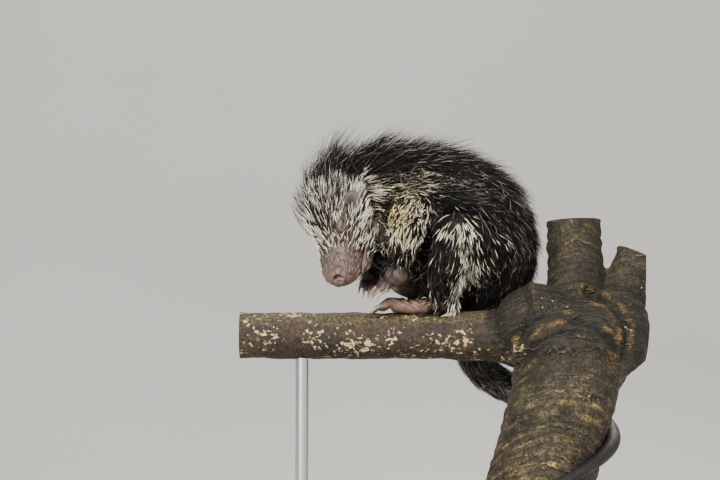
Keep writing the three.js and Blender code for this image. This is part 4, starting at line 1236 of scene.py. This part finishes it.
# Dark stained and waxed hardwood, its grain running along the board
stained_board = shaded("stained_board", "1d120c", "4a2f1e", 3, 5, (0.06, 1, 1), (0.25, 0.3),
                       Roughness=0.38, Coat_Weight=0.25, Coat_Roughness=0.25)
STEEL = brushed_steel()
STAND = {"stand_base": stained_board, "stand_rod_left": STEEL, "stand_rod_right": STEEL}
for name, material in STAND.items():
    for material_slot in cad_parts[name].material_slots:
        material_slot.material = material


# Kinds of hair and quill. Density is in strands per square centimetre, sizes in millimetres.

def back_hair(zone):
    body = 46 * (1 - 0.9 * paleness(zone)) * zone.on(*BODY)
    return body + 46 * crown_of(zone) + 13 * forehead(zone)


def under_hair(zone):
    return 70 * zone.on(*BODY, *LIMBS, "arm_fore", "foot")


def belly_hair(zone):
    below = step(-zone.facing[:, 2], -0.1, 0.5) + step(-zone.facing[:, 0], 0.2, 0.8)
    return 30 * below.clip(0, 1) * zone.on(*BODY, *LIMBS, "arm_fore") * step(zone.z, 12, 30)


def quills(zone):
    return 21 * paleness(zone) * zone.on(*BODY, *LIMBS, "arm_fore", "foot")


def tip_hair(zone):
    return 9 * zone.on(*BODY) * (1 - paleness(zone)) + 12 * crown_of(zone) + 6 * forehead(zone)


def face_quills(zone):
    return 18 * zone.on(*HEAD) * (1 - 0.5 * crown_of(zone))


def nose_hair(zone):
    return 26 * zone.on(*HEAD) * window(zone.nose, NOSE_FROM - 4, NOSE_FROM, 58, 72)


def yellow(zone):
    """Warm stain of the quills, strongest behind the cheek."""
    spot = bump(np.hypot(zone.x + 24, zone.z - 88), 20)
    return np.clip(0.06 + 0.6 * spot, 0, 1) * zone.on(*BODY, "arm_upper")


def back_stand(zone):
    """How far the long hair stands off: most on the crown and nape, least over the rump."""
    return 1 + 0.5 * crown_of(zone) + 0.25 * zone.on("neck") - 0.35 * step(zone.x, 50, 90)


def back_length(zone):
    crown = crown_of(zone)
    return 1 - 0.3 * step(zone.x, 60, 95) - 0.2 * crown - 0.45 * forehead(zone) * (1 - crown)


def under_length(zone):
    return 1 + 0.5 * zone.on("shank", "thigh") + 0.2 * zone.on("foot") - 0.25 * zone.on("arm_fore")


def forehead(zone):
    return zone.on("skull") * step(zone.crown, 4, 18) * (1 - step(zone.nose, 20, 42))


def face_stand(zone):
    """The quills stand off along the forehead and lie flat on the cheek."""
    return 0.8 + 2.0 * forehead(zone)


def face_length(zone):
    return 0.55 + 0.5 * (1 - step(zone.nose, 6, 50)) + 0.6 * forehead(zone)


# Rise is how far the tip stands off, sway how many degrees a hair strays, and stiff how straight it is.
# A shade is how common it is, and its colours at root, middle and tip.
GROWTHS = {
    "coat_under": {
        "density": under_hair, "length": 12, "rise": 2.6, "width": 0.55, "rings": 2, "sway": 18,
        "scale": under_length, "finish": HAIR,
        "shades": [(12, *BLACK), (1.1, "14110f", "4a433c", "c2baa8")]},
    "coat_belly": {
        "density": belly_hair, "length": 22, "rise": 7, "width": 0.5, "rings": 3, "sway": 16,
        "finish": HAIR, "shades": [(8, *BLACK), (1, "14110f", "3a342e", "a39c8c")]},
    "coat_back": {
        "density": back_hair, "length": 42, "rise": 20, "width": 0.6, "rings": 4, "sway": 10, "bend": 1.1,
        "stand": back_stand, "scale": back_length, "finish": HAIR,
        "shades": [(12, *BLACK), (1, "0b0908", "1d1917", "4a433c")]},
    "coat_tips": {
        "density": tip_hair, "length": 40, "rise": 20, "width": 0.75, "rings": 4, "sway": 11, "bend": 1.1,
        "stand": back_stand, "scale": back_length, "taper": 0.4, "tipped": 5, "finish": QUILL,
        "shades": [(1, "0b0908", "0b0908", "e6e1d2")]},
    "coat_quills": {
        "density": quills, "length": 12.5, "rise": 5.5, "width": 0.95, "rings": 3, "sway": 12, "bend": 1.0,
        "curl": 3, "stiff": 0.6, "taper": 0.4, "warm": yellow, "finish": QUILL,
        "shades": [(6, "6b6047", "e0dcc4", "f7f4ea"), (1, "5c523a", "b2aa88", "3a2f22")]},
    "coat_face_under": {
        "density": lambda zone: 60 * zone.on(*HEAD), "length": 6, "rise": 1.5, "width": 0.5,
        "rings": 2, "sway": 16, "finish": HAIR,
        "shades": [(4, *BLACK), (2, "1d1815", "2f2823", "4f483f")]},
    "coat_face": {
        "density": face_quills, "length": 10.5, "rise": 4, "width": 0.72, "rings": 3, "sway": 10,
        "bend": 1.0, "curl": 3, "stiff": 0.5, "scale": face_length, "stand": face_stand, "taper": 0.4,
        "finish": QUILL,
        "shades": [(6, "6e6152", "e0dac8", "f7f4ea"), (1, "2b2420", "6e6558", "c9c2b2")]},
    "coat_nose": {
        "density": nose_hair, "length": 5.5, "rise": 1.4, "width": 0.28, "rings": 2, "sway": 14, "bare": 0,
        "finish": HAIR, "shades": [(2, *BLACK), (1, "6e6152", "b5ac9c", "efebde")]},
    "coat_tail": {
        "density": lambda zone: 60 * zone.on("tail"), "length": 17, "rise": 4.5, "width": 0.6, "rings": 3,
        "sway": 12, "finish": HAIR, "shades": [(4, *BLACK), (2, "0b0908", "3a3532", "dedacd")]},
}
for name, growth in GROWTHS.items():
    grow(name, growth)


# Floor, light and camera

def studio():
    """A pale floor that curves up into a backdrop far behind the model."""
    bm = bmesh.new()
    profile = ((SWEEP["near"], 0), (SWEEP["far"], 0), (SWEEP["far"], SWEEP["top"]))
    front = [bm.verts.new((-SWEEP["side"], y, z)) for y, z in profile]
    for a, b in zip(front, front[1:]):
        bm.edges.new((a, b))
    bmesh.ops.bevel(bm, geom=[front[1]], affect="VERTICES", offset=SWEEP["bend"], segments=16,
                    profile=0.5, material=-1)
    swept = bmesh.ops.extrude_edge_only(bm, edges=bm.edges[:])
    moved = [item for item in swept["geom"] if isinstance(item, bmesh.types.BMVert)]
    bmesh.ops.translate(bm, verts=moved, vec=(2 * SWEEP["side"], 0, 0))
    bmesh.ops.recalc_face_normals(bm, faces=bm.faces[:])
    mesh = to_mesh("studio", bm)
    # Matt pale paint with the faintest clouding
    mesh.materials.append(shaded("matt_paint", "d8d6d2", "dedcd8", 900, Roughness=0.9))
    mesh.polygons.foreach_set("use_smooth", [True] * len(mesh.polygons))
    piece = put("studio", mesh)


def aim(piece, place, towards):
    piece.location = place
    piece.rotation_euler = towards.to_track_quat("-Z", "Y").to_euler()


def lamp(name, place, size, power):
    """A square lamp of slightly warm light that faces the model; sizes in metres, power in watts."""
    light = bpy.data.lights.new(name, "AREA")
    light.energy = power
    light.size = size
    light.color = colour("fffaf2")
    aim(put(name, light), place, SUBJECT - Vector(place))


def camera():
    """The photo's view: from the animal's left, a little below it."""
    eye = bpy.data.cameras.new("camera")
    eye.sensor_width = SENSOR
    eye.lens = SENSOR * CAMERA_DISTANCE / FRAME_WIDTH
    back = Vector((0, -math.cos(LOOK_UP), -math.sin(LOOK_UP))) * CAMERA_DISTANCE
    bpy.context.scene.camera = put("camera", eye)
    aim(bpy.context.scene.camera, SUBJECT + back, -back)


studio()
camera()
lamp("key", (-0.7, -2.0, 1.2), 0.6, 140)
lamp("fill", (1.6, -1.6, 0.9), 1.4, 18)
lamp("rim", (0.6, 1.6, 1.7), 0.8, 30)
world = bpy.data.worlds.new("studio_air")
world.use_nodes = True
wire(world.node_tree.nodes["Background"], {"Color": (*colour("e6e8ea"), 1), "Strength": 0.78})
bpy.context.scene.world = world
